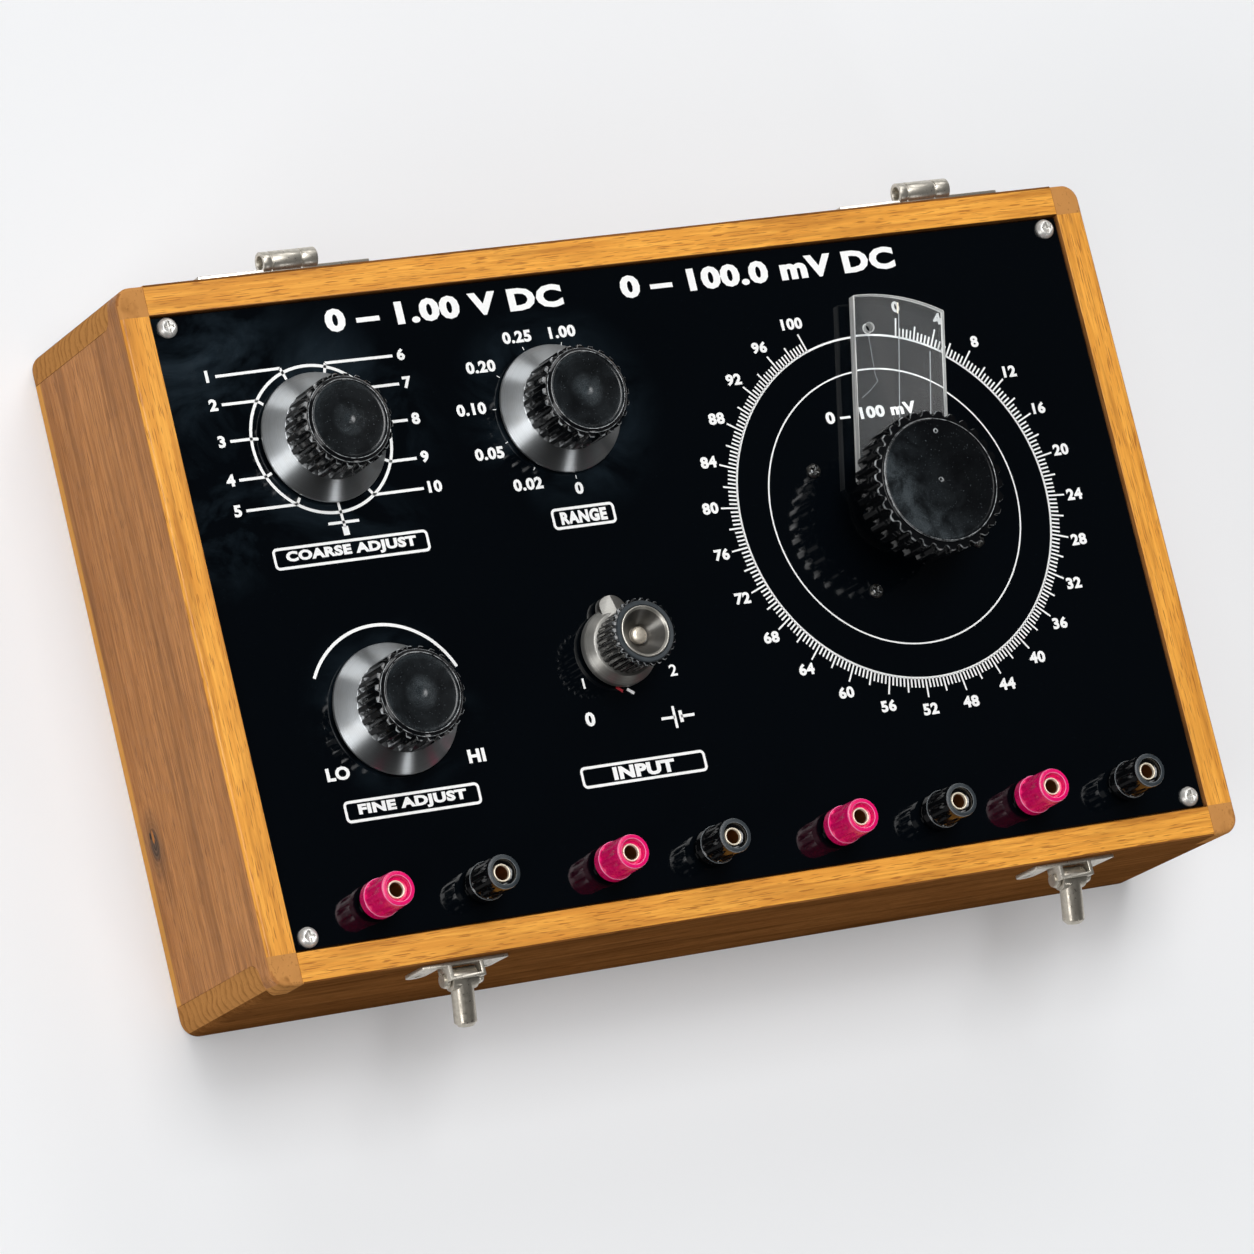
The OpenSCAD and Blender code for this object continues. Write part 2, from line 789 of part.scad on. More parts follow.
// Shaft with a contact arm; the arm sweeps arm_gap under what it reads
module arm_shaft(at, r, arm_len, arm_top, top) {
  arm_low = arm_top - arm_t;
  place(at) {
    translate([0, 0, arm_low - arm_t]) cylinder(r = r, h = top - arm_low + arm_t);
    translate([0, 0, arm_low - arm_t / 2]) cylinder(r = r + arm_hub, h = arm_t * 1.5);
    translate([-arm_w / 2, -arm_len, arm_low]) cube([arm_w, arm_len, arm_t]);
  }
}

module plain_shaft(at, arm_top) {
  arm_len = deck_r * contact_ring + contact_r;
  arm_shaft(at, shaft_r, arm_len, arm_top, panel_z + skirt_top + shaft_into_knob - eps);
}

deck_arm_top = flange_low - deck_plate_t - deck_drop - deck_t - contact_h - arm_gap;
winding_arm_top = flange_low - deck_plate_t - winding_h - arm_gap;

module coarse_skirt() {
  color(spun_alu) knob_skirt(coarse_at);
}

module coarse_knob() {
  color(gloss_black) plain_knob(coarse_at);
}

module coarse_face() {
  color(face_black) plain_face(coarse_at);
}

module coarse_shaft() {
  color(nickel) plain_shaft(coarse_at, deck_arm_top);
}

module volts_skirt() {
  color(spun_alu) knob_skirt(volts_at);
}

module volts_knob() {
  color(gloss_black) plain_knob(volts_at);
}

module volts_face() {
  color(face_black) plain_face(volts_at);
}

module volts_shaft() {
  color(nickel) plain_shaft(volts_at, deck_arm_top);
}

module line_skirt() {
  color(spun_alu) knob_skirt(line_at);
}

module line_knob() {
  color(gloss_black) plain_knob(line_at);
}

module line_face() {
  color(face_black) plain_face(line_at);
}

module line_shaft() {
  color(nickel) plain_shaft(line_at, winding_arm_top);
}

module selector_skirt() {
  tab_h = skirt_top + tab_rise;
  color(spun_alu) place(selector_at, panel_z) {
    skirt_shell(selector_skirt_r, selector_land_r, shaft_r + seat_fit);
    intersection() {
      difference() {
        cylinder(r = pointer_reach, h = tab_h);
        translate([0, 0, -eps]) cylinder(r = selector_grip_r + skirt_land, h = tab_h + 2 * eps);
      }
      translate([-pointer_w / 2, 0, skirt_gap]) cube([pointer_w, pointer_reach, tab_h - skirt_gap]);
    }
  }
}

module selector_knob() {
  top = selector_h;
  color(gloss_black) place(selector_at, panel_z) difference() {
    union() {
      translate([0, 0, skirt_top]) linear_extrude(top - ring_h - skirt_top)
        fluted_disc(selector_grip_r, grip_flutes, selector_flute_r);
      translate([0, 0, top - ring_h - eps]) cylinder(r = selector_face_r, h = ring_h + eps);
    }
    translate([0, 0, top - dish_depth - skirt_wall])
      cylinder(r = selector_dish_r + seat_fit, h = dish_depth + skirt_wall + eps);
    translate([0, 0, skirt_top - eps]) cylinder(r = shaft_r + seat_fit, h = top);
  }
}

// Spun dish that narrows towards a round button at its floor
module selector_dish() {
  top = selector_h - dish_seat;
  floor_z = top - dish_depth;
  low = selector_h - dish_depth - skirt_wall;
  color(spun_alu) place(selector_at, panel_z) rotate_extrude() polygon([
    [0, low],
    [selector_dish_r, low],
    [selector_dish_r, top],
    [selector_dish_r - dish_rim, top],
    [button_r + dish_floor, floor_z],
    [button_r, floor_z],
    [button_r, floor_z + button_h],
    [0, floor_z + button_h]
  ]);
}

module selector_shaft() {
  color(nickel) arm_shaft(
    selector_at, shaft_r, selector_deck_r * contact_ring + contact_r, deck_arm_top,
    panel_z + selector_h - dish_depth - skirt_wall - seat_fit
  );
}

// Main dial

module wire_ring(r) {
  rotate_extrude() translate([slide_ring_r, 0]) circle(r = r);
}

module slide_wire_former() {
  color(slate) place(main_at) difference() {
    translate([0, 0, panel_low - former_t]) cylinder(r = former_r, h = former_t);
    translate([0, 0, panel_low - former_t - eps]) cylinder(r = former_hole_r, h = former_t + 2 * eps);
    translate([0, 0, panel_low - former_t]) wire_ring(slide_wire_r + pass_fit);
    place([-main_at[0], -main_at[1]]) at_former_screws() translate([0, 0, -small_screw_len - seat_fit])
      cylinder(r = small_screw_r + seat_fit, h = small_screw_len);
  }
}

module slide_wire() {
  color(copper) place(main_at, panel_low - former_t) wire_ring(slide_wire_r);
}

module former_screws() {
  color(nickel) at_former_screws() pan_screw(small_screw_r, small_head_r, small_head_h, small_screw_len);
}

module cursor() {
  color(clear) place(main_at, panel_z + cursor_low) rotate(-cursor_angle) difference() {
    linear_extrude(cursor_t) {
      circle(r = cursor_w / 2);
      intersection() {
        translate([-cursor_w / 2, 0]) square([cursor_w, cursor_reach]);
        circle(r = cursor_reach, $fn = 180);
      }
    }
    translate([0, 0, -eps]) cylinder(r = main_shaft_r + seat_fit, h = cursor_t + 2 * eps);
    place(cursor_hole_at, -eps) cylinder(r = cursor_hole_r, h = cursor_t + 2 * eps);
  }
}

module main_knob() {
  grip_low = main_h - main_grip_h;
  neck_low = cursor_low + cursor_t;
  bore = main_shaft_r + seat_fit;
  color(gloss_black) place(main_at, panel_z) difference() {
    union() {
      knob_body(
        main_grip_r, grip_low, main_h, main_flutes, main_flute_r, main_face_r, bore,
        grip_low + shaft_into_knob
      );
      translate([0, 0, neck_low]) cylinder(r = main_neck_r, h = grip_low - neck_low);
    }
    translate([0, 0, cursor_low]) cylinder(r = bore, h = grip_low - cursor_low + eps);
  }
}

module main_face() {
  color(face_black) place(main_at, panel_z + main_h - face_t - face_seat)
    cylinder(r = main_face_r, h = face_t);
}

module main_shaft() {
  color(nickel) arm_shaft(
    main_at, main_shaft_r, slide_ring_r + arm_w / 2, panel_low - former_t - slide_wire_r - arm_gap,
    panel_z + main_h - main_grip_h + shaft_into_knob - eps
  );
}

// Binding posts

module post_collars() {
  color(gloss_black) for (x = post_x) place([x, post_y], panel_z) difference() {
    cylinder(r = collar_r, h = collar_t);
    translate([0, 0, -eps]) cylinder(r = post_thread_r + seat_fit, h = collar_t + 2 * eps);
  }
}

module post_studs() {
  tube_top = post_h - tube_below;
  tail_low = -panel_t - post_tail;
  color(brass) for (x = post_x) place([x, post_y], panel_z) difference() {
    union() {
      translate([0, 0, collar_t]) cylinder(r = tube_r, h = tube_top - collar_t);
      translate([0, 0, tail_low]) cylinder(r = post_thread_r, h = collar_t - tail_low + eps);
    }
    translate([0, 0, collar_t + socket_floor]) cylinder(r = socket_r, h = tube_top);
  }
}

module post_nuts() {
  color(brass) for (x = post_x)
    hex_nut([x, post_y], panel_low - post_nut_t, post_nut_af, post_thread_r + seat_fit, post_nut_t);
}

// Screw-down cap: a flange, a fluted barrel and a plain rim round the socket
module post_cap(k) {
  low = collar_t;
  color(k % 2 == 0 ? magenta : gloss_black) place([post_x[k], post_y], panel_z) difference() {
    union() {
      translate([0, 0, low]) cylinder(r = cap_flange_r, h = cap_flange_h);
      translate([0, 0, low + cap_flange_h]) linear_extrude(post_h - low - cap_flange_h - cap_rim_h)
        fluted_disc(cap_r, cap_flutes, cap_flute_r);
      translate([0, 0, post_h - cap_rim_h]) cylinder(r = cap_rim_r, h = cap_rim_h);
    }
    translate([0, 0, low - eps]) cylinder(r = tube_r + run_fit, h = post_h);
    translate([0, 0, post_h - cap_dish_h]) cylinder(r = cap_dish_r, h = cap_dish_h + eps);
  }
}

module post_cap_1() {
  post_cap(0);
}

module post_cap_2() {
  post_cap(1);
}

module post_cap_3() {
  post_cap(2);
}

module post_cap_4() {
  post_cap(3);
}

module post_cap_5() {
  post_cap(4);
}

module post_cap_6() {
  post_cap(5);
}

module post_cap_7() {
  post_cap(6);
}

module post_cap_8() {
  post_cap(7);
}

// Wound resistance bobbins that stand in a row on the base board
module resistor_bobbins() {
  color(copper) for (k = [0:bobbin_n - 1])
    translate([(k - (bobbin_n - 1) / 2) * bobbin_step, 0, base_t]) {
      cylinder(r = bobbin_r, h = bobbin_flange);
      translate([0, 0, bobbin_h - bobbin_flange]) cylinder(r = bobbin_r, h = bobbin_flange);
      cylinder(r = bobbin_core_r, h = bobbin_h);
    }
}

left_side_board();
right_side_board();
front_board();
rear_board();
base_board();
base_screws();
panel_battens();
instrument_panel();
panel_screws();
hinge_left();
hinge_right();
hinge_screws();
catch_plate_left();
catch_plate_right();
catch_pins();
catch_screws();
catch_stud_left();
catch_stud_right();
shaft_bushings();
bushing_nuts();
coarse_switch_deck();
volts_switch_deck();
selector_switch_deck();
line_winding();
slide_wire_former();
slide_wire();
former_screws();
post_collars();
post_studs();
post_nuts();
resistor_bobbins();
coarse_skirt();
coarse_knob();
coarse_face();
coarse_shaft();
volts_skirt();
volts_knob();
volts_face();
volts_shaft();
line_skirt();
line_knob();
line_face();
line_shaft();
selector_skirt();
selector_knob();
selector_dish();
selector_shaft();
main_knob();
main_face();
cursor();
main_shaft();
post_cap_1();
post_cap_2();
post_cap_3();
post_cap_4();
post_cap_5();
post_cap_6();
post_cap_7();
post_cap_8();
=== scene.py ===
"""Bench measuring potentiometer in a wooden case: its looks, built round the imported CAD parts."""

import math

import bmesh
import bpy
from bpy.props import FloatProperty, FloatVectorProperty, IntProperty, PointerProperty
from mathutils import Matrix, Vector


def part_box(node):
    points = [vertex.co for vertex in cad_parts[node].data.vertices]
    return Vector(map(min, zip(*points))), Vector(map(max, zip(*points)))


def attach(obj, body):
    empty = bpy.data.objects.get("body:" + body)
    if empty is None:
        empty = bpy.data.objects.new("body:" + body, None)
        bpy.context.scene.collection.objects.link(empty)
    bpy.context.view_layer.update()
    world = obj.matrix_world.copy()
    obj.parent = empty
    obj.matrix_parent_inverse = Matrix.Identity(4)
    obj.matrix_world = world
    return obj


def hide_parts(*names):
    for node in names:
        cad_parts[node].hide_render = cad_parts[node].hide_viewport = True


bl_info = {
    "name": "Measuring Potentiometer",
    "version": (1, 0, 0),
    "blender": (4, 5, 0),
    "location": "View3D > Sidebar > Potentiometer",
    "description": "Builds a wooden-cased bench measuring potentiometer and its studio",
    "category": "Object",
}

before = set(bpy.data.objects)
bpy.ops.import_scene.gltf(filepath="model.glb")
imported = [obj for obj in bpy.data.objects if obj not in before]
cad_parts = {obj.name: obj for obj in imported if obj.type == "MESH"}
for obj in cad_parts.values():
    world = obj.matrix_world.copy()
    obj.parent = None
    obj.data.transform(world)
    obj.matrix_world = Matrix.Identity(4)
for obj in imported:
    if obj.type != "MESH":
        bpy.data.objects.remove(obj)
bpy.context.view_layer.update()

MM = 0.001  # metres in a millimetre
PANEL_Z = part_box("instrument_panel")[1].z / MM
CASE_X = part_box("right_side_board")[1].x / MM
CASE_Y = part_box("rear_board")[1].y / MM
CASE_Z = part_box("rear_board")[1].z / MM
OPEN_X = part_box("right_side_board")[0].x / MM
OPEN_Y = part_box("rear_board")[0].y / MM
CORNER_R = 5.0  # upright corners of the case
ON_WALL = 0.03  # a point this near to a wall lies on it
ON_ARC = 0.05  # and to a rounded corner
NEAR = 0.02  # and to the rim, the floor or the opening
KNOT = (-CASE_X, -46.5, 10.0)  # in the outer face of the left side board


def middle(node_name):
    """Middle of a CAD node in plan, in mm."""
    low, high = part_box(node_name)
    return (low.x + high.x) / 2 / MM, (low.y + high.y) / 2 / MM


COARSE = middle("coarse_skirt")
VOLTS = middle("volts_skirt")
LINE = middle("line_skirt")
SELECTOR = middle("selector_dish")
MAIN = middle("main_face")
CAPS = [middle("post_cap_%d" % k) for k in range(1, 9)]


def colour(code):
    """Linear colour of an sRGB hex code."""
    parts = [int(code[k : k + 2], 16) / 255 for k in (0, 2, 4)]
    return tuple(p / 12.92 if p <= 0.04045 else ((p + 0.055) / 1.055) ** 2.4 for p in parts)


# Settings that a user would change


class CaseSettings(bpy.types.PropertyGroup):
    light_wood: FloatVectorProperty(
        name="Light wood", description="Lacquered rim of the case", subtype="COLOR", size=3, min=0, max=1,
        default=colour("FDB64D"),
    )
    dark_wood: FloatVectorProperty(
        name="Dark wood", description="Outer faces of the four boards", subtype="COLOR", size=3, min=0, max=1,
        default=colour("CC9058"),
    )
    edge_radius: FloatProperty(
        name="Edge radius", description="Rounding of the outer rim", unit="LENGTH", default=1.2 * MM, min=0,
    )


class PanelSettings(bpy.types.PropertyGroup):
    black: FloatVectorProperty(
        name="Panel black", description="Polished panel", subtype="COLOR", size=3, min=0, max=1,
        default=colour("04070B"),
    )
    haze: FloatVectorProperty(
        name="Haze", description="Thin cloudy film on the panel", subtype="COLOR", size=3, min=0, max=1,
        default=colour("2C3A44"),
    )
    edge: FloatProperty(
        name="Edge bevel", description="Bevel round the panel", unit="LENGTH", default=0.35 * MM, min=0,
    )


class KnobSettings(bpy.types.PropertyGroup):
    black: FloatVectorProperty(
        name="Knob black", description="Moulded grips", subtype="COLOR", size=3, min=0, max=1,
        default=colour("0B0C0E"),
    )
    face: FloatVectorProperty(
        name="Face grey", description="Matt discs in the knobs", subtype="COLOR", size=3, min=0, max=1,
        default=colour("0A0C0E"),
    )
    flutes: IntProperty(name="Flutes", description="Flutes round a small knob", default=24, min=12, max=40)
    main_flutes: IntProperty(
        name="Main flutes", description="Flutes round the large knob", default=30, min=12, max=48,
    )
    flute_depth: FloatProperty(
        name="Flute depth", description="Depth of the flutes of a small knob", unit="LENGTH",
        default=1.5 * MM, min=0,
    )


class PostSettings(bpy.types.PropertyGroup):
    bright: FloatVectorProperty(
        name="Bright caps", description="Caps of one pole", subtype="COLOR", size=3, min=0, max=1,
        default=colour("E80A6A"),
    )
    flutes: IntProperty(name="Flutes", description="Flutes round a cap", default=10, min=6, max=20)


class MarkSettings(bpy.types.PropertyGroup):
    paint: FloatVectorProperty(
        name="Paint", description="White filling of the markings", subtype="COLOR", size=3, min=0, max=1,
        default=colour("F4F4F2"),
    )
    line: FloatProperty(
        name="Line width", description="Width of the lines", unit="LENGTH", default=0.82 * MM, min=0,
    )
    lift: FloatProperty(
        name="Lift", description="Height of the paint", unit="LENGTH", default=0.03 * MM, min=0,
    )


class StageSettings(bpy.types.PropertyGroup):
    floor: FloatVectorProperty(
        name="Floor", description="Pale floor", subtype="COLOR", size=3, min=0, max=1,
        default=colour("DCDDDF"),
    )
    glow: FloatProperty(
        name="Floor glow", description="Light that the floor adds in view", default=0.17, min=0,
    )
    top: FloatProperty(name="Top", description="Watts of the lamp overhead", default=86.0, min=0)
    rear: FloatProperty(name="Rear", description="Watts of the high lamp at the rear", default=60.0, min=0)
    key: FloatProperty(name="Key", description="Watts of the lamp at the rear right", default=26.0, min=0)
    back: FloatProperty(name="Back", description="Watts of the low lamp behind", default=20.0, min=0)
    front: FloatProperty(
        name="Front", description="Watts of the high lamp at the front left", default=16.0, min=0,
    )
    side: FloatProperty(name="Side", description="Watts of the lamp on the left", default=42.0, min=0)
    low: FloatProperty(name="Low", description="Watts of the small lamp at the front", default=8.0, min=0)
    walls: FloatProperty(
        name="Walls", description="Brightness of the pale walls all round", default=0.3, min=0,
    )


class PotentiometerSettings(bpy.types.PropertyGroup):
    case: PointerProperty(type=CaseSettings)
    panel: PointerProperty(type=PanelSettings)
    knob: PointerProperty(type=KnobSettings)
    post: PointerProperty(type=PostSettings)
    mark: PointerProperty(type=MarkSettings)
    stage: PointerProperty(type=StageSettings)


def settings():
    """Settings of the scene, as the sidebar shows them."""
    return bpy.context.scene.potentiometer


# Mesh helpers; lengths are in mm


def cad_copy(node_name):
    """Merged copy of a CAD node, its flat faces whole again."""
    bm = bmesh.new()
    bm.from_mesh(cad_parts[node_name].data)
    bmesh.ops.remove_doubles(bm, verts=bm.verts, dist=0.002 * MM)
    bmesh.ops.dissolve_limit(bm, angle_limit=math.radians(0.5), verts=bm.verts, edges=bm.edges)
    return bm


def corner(edge):
    """Angle between the two faces at an edge, in degrees."""
    return math.degrees(edge.calc_face_angle(0.0)) if len(edge.link_faces) == 2 else 0.0


def bevel(bm, geom, width, segments, affect="EDGES"):
    """Rounds edges, or corners where affect is VERTICES."""
    bmesh.ops.bevel(
        bm, geom=geom, offset=width * MM, offset_type="OFFSET", segments=segments, profile=0.5,
        affect=affect, material=-1, clamp_overlap=False,
    )


def soften(bm, width, test=lambda edge: True, angle=35):
    """Bevels the edges sharper than an angle that pass a test."""
    bevel(bm, [e for e in bm.edges if corner(e) > angle and test(e)], width, 2)


def slice_at(bm, at, normal):
    """Adds edges where a plane meets the mesh."""
    geom = bm.verts[:] + bm.edges[:] + bm.faces[:]
    place = tuple(value * MM for value in at)
    bmesh.ops.bisect_plane(bm, geom=geom, dist=0.001 * MM, plane_co=place, plane_no=normal)


def rounded(points, segments=3, closed=False):
    """Profile with its corners rounded; a point is (radius, height) or (radius, height, fillet)."""
    made = []
    count = len(points)
    for k, point in enumerate(points):
        at = Vector(point[:2])
        fillet = point[2] if len(point) > 2 else 0
        if not fillet or (not closed and k in (0, count - 1)):
            made.append(tuple(at))
            continue
        back = Vector(points[k - 1][:2]) - at
        ahead = Vector(points[(k + 1) % count][:2]) - at
        reach = min(fillet, 0.48 * back.length, 0.48 * ahead.length)
        start = at + back.normalized() * reach
        end = at + ahead.normalized() * reach
        for step in range(segments + 1):
            t = step / segments
            made.append(tuple(start * (1 - t) ** 2 + at * 2 * t * (1 - t) + end * t * t))
    return made


def lathe(bm, profile, steps=64, closed=False, material=0, angle=2 * math.pi):
    """Spins a profile round the Z axis."""
    known = set(bm.faces)
    verts = [bm.verts.new((r * MM, 0, z * MM)) for r, z in profile]
    edges = [bm.edges.new(pair) for pair in zip(verts, verts[1:])]
    if closed:
        edges.append(bm.edges.new((verts[-1], verts[0])))
    bmesh.ops.spin(
        bm, geom=verts + edges, cent=(0, 0, 0), axis=(0, 0, 1), dvec=(0, 0, 0), angle=angle, steps=steps,
        use_merge=angle > 6.28, use_duplicate=False,  # a full turn closes on itself
    )
    for face in bm.faces:
        if face not in known:
            face.material_index = material


def loop_edges(verts):
    """Edges that run between the vertices."""
    inside = set(verts)
    return list(dict.fromkeys(e for v in verts for e in v.link_edges if e.other_vert(v) in inside))


def loft(bm, rows, cap=True):
    """Grows a wall through rows of (outline, height, material); an outline is a list of (angle, radius)."""
    verts = bmesh.ops.create_circle(bm, cap_ends=False, segments=len(rows[0][0]), radius=1)["verts"]
    first = verts
    for row, (outline, height, *index) in enumerate(rows):
        if row:
            made = bmesh.ops.extrude_edge_only(bm, edges=loop_edges(verts))["geom"]
            fresh = {g for g in made if isinstance(g, bmesh.types.BMVert)}
            verts = [next(e.other_vert(v) for e in v.link_edges if e.other_vert(v) in fresh) for v in verts]
            for face in (g for g in made if isinstance(g, bmesh.types.BMFace)):
                face.material_index = index[0] if index else 0
        for vert, (angle, radius) in zip(verts, outline):
            vert.co = (radius * MM * math.cos(angle), radius * MM * math.sin(angle), height * MM)
    if cap:
        for ring in (first, verts):
            bmesh.ops.contextual_create(bm, geom=loop_edges(ring))
    else:
        bmesh.ops.bridge_loops(bm, edges=loop_edges(first) + loop_edges(verts))


# Cut of a flute across its pitch: where, and what share of the depth
SQUARE_FLUTE = (
    (0.03, 0.12), (0.08, 0), (0.42, 0), (0.47, 0.12), (0.55, 0.62), (0.66, 0.95), (0.84, 0.95), (0.95, 0.62),
)
ROUND_FLUTE = (
    (0, 0.3), (0.09, 0.05), (0.25, 0), (0.41, 0.05), (0.5, 0.3), (0.6, 0.8), (0.75, 1), (0.9, 0.8),
)
HOLLOW_FLUTE = (
    (0.0, 0.15), (0.06, 0), (0.44, 0), (0.5, 0.15), (0.57, 0.75), (0.72, 1), (0.87, 0.75), (0.94, 0.4),
)


def fluted(count, radius, depth, cut):
    """Outline with flutes, or a plain round one where the depth is 0."""
    pitch = 2 * math.pi / count
    return [(pitch * (k + at), radius - depth * share) for k in range(count) for at, share in cut]


def grip_rows(count, cut, table):
    """Rows for a loft from (radius, flute depth, height) or (radius, flute depth, height, material)."""
    return [(fluted(count, radius, depth, cut), *rest) for radius, depth, *rest in table]


def put(bm, at, height=0.0, turn=0.0):
    """Turns a part round Z and moves it to its place."""
    place = Matrix.Translation((at[0] * MM, at[1] * MM, height * MM)) @ Matrix.Rotation(turn, 4, "Z")
    bmesh.ops.transform(bm, matrix=place, verts=bm.verts)


def gather(bm, part):
    """Adds a finished part to a larger piece."""
    mesh = bpy.data.meshes.new("part")
    part.to_mesh(mesh)
    part.free()
    bm.from_mesh(mesh)
    bpy.data.meshes.remove(mesh)


def piece(name, bm, materials, body, nodes=(), smooth=32):
    """Makes the finished object, lets it ride on its body and stand for its CAD nodes."""
    bmesh.ops.remove_doubles(bm, verts=bm.verts, dist=0.0005 * MM)
    bmesh.ops.recalc_face_normals(bm, faces=bm.faces)
    mesh = bpy.data.meshes.new(name)
    bm.to_mesh(mesh)
    bm.free()
    mesh.shade_smooth()
    mesh.set_sharp_from_angle(angle=math.radians(smooth))
    for material in materials:
        mesh.materials.append(material)
    made = bpy.data.objects.new(name, mesh)
    bpy.context.scene.collection.objects.link(made)
    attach(made, body)
    if nodes:
        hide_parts(*nodes)
    return made


# Material helpers


def add(tree, kind, sockets=None, **values):
    """Adds a node, sets its values and fills its sockets with links or values."""
    made = tree.nodes.new("ShaderNode" + kind)
    for name, value in values.items():
        setattr(made, name, value)
    for key, value in (sockets or {}).items():
        if isinstance(value, bpy.types.NodeSocket):
            tree.links.new(value, made.inputs[key])
        else:
            made.inputs[key].default_value = value
    return made


def rgba(value):
    """Colour with its alpha of 1."""
    return (*value[:3], 1.0)


def material(name, base, roughness=0.5, **constants):
    """New material with one Principled shader; returns material, tree and shader."""
    made = bpy.data.materials.new(name)
    made.use_nodes = True
    tree = made.node_tree
    shader = tree.nodes["Principled BSDF"]
    shader.inputs["Base Color"].default_value = rgba(base)
    shader.inputs["Roughness"].default_value = roughness
    for key, value in constants.items():
        shader.inputs[key.replace("_", " ")].default_value = value
    made.diffuse_color = rgba(base)
    return made, tree, shader


def in_mm(tree):
    """Object coordinates in mm."""
    place = add(tree, "TexCoord").outputs["Object"]
    return add(tree, "VectorMath", {0: place, 3: 1 / MM}, operation="SCALE").outputs[0]


def stretched(tree, place, scale, offset=(0, 0, 0)):
    """Coordinates moved and then scaled along each axis."""
    moved = add(tree, "VectorMath", {0: place, 1: offset}, operation="ADD").outputs[0]
    return add(tree, "VectorMath", {0: moved, 1: scale}, operation="MULTIPLY").outputs[0]


def noise(tree, place, scale=1.0, detail=2.0, rough=0.5, twist=0.0):
    """Soft random pattern; a scale of 1 on coordinates in mm has patches about 1 mm across."""
    return add(
        tree, "TexNoise",
        {"Vector": place, "Scale": scale, "Detail": detail, "Roughness": rough, "Distortion": twist},
    ).outputs["Fac"]


def ramp(tree, factor, stops, ease="LINEAR"):
    """Colour ramp; a stop is (place, colour or grey)."""
    made = add(tree, "ValToRGB", {"Fac": factor})
    made.color_ramp.interpolation = ease
    elements = made.color_ramp.elements
    while len(elements) < len(stops):
        elements.new(0.5)
    for element, (at, tone) in zip(elements, stops):
        element.position = at
        element.color = rgba(tone) if isinstance(tone, (tuple, list)) else (tone, tone, tone, 1)
    return made.outputs["Color"]


def blend(tree, factor, first, second, mode="MIX"):
    """Mix of two colours by a factor."""
    return add(
        tree, "MixRGB",
        {
            "Fac": factor,
            "Color1": rgba(first) if isinstance(first, tuple) else first,
            "Color2": rgba(second) if isinstance(second, tuple) else second,
        },
        blend_type=mode,
    ).outputs["Color"]


def maths(tree, operation, *inputs):
    """One sum on links or numbers."""
    return add(tree, "Math", dict(enumerate(inputs)), operation=operation).outputs[0]


def link(tree, source, shader, key):
    """Feeds a socket of the shader."""
    tree.links.new(source, shader.inputs[key])


def bump(tree, shader, height, distance, strength):
    """Relief of a surface, its full height given as a distance."""
    made = add(tree, "Bump", {"Height": height, "Distance": distance * MM, "Strength": strength})
    link(tree, made.outputs[0], shader, "Normal")


# Finishes

# Middle and dark tones of a wood, as shares of its pale colour
GOLDEN = ((0.8, 0.69, 0.55), (0.38, 0.26, 0.17))
TEAK = ((0.72, 0.65, 0.59), (0.34, 0.29, 0.25))
# Rubbed and fresh tones of the white paint, as shares of its colour
WHITES = ((1.0, 1.0093, 1.0189), (1.0956, 1.0956, 1.1062))
FALL = 2.718  # rings pushed aside by the knot fall back by this factor


def tones(base, shades):
    """Two tones of a finish, each a share of its colour."""
    return [tuple(c * share for c, share in zip(base, shade)) for shade in shades]


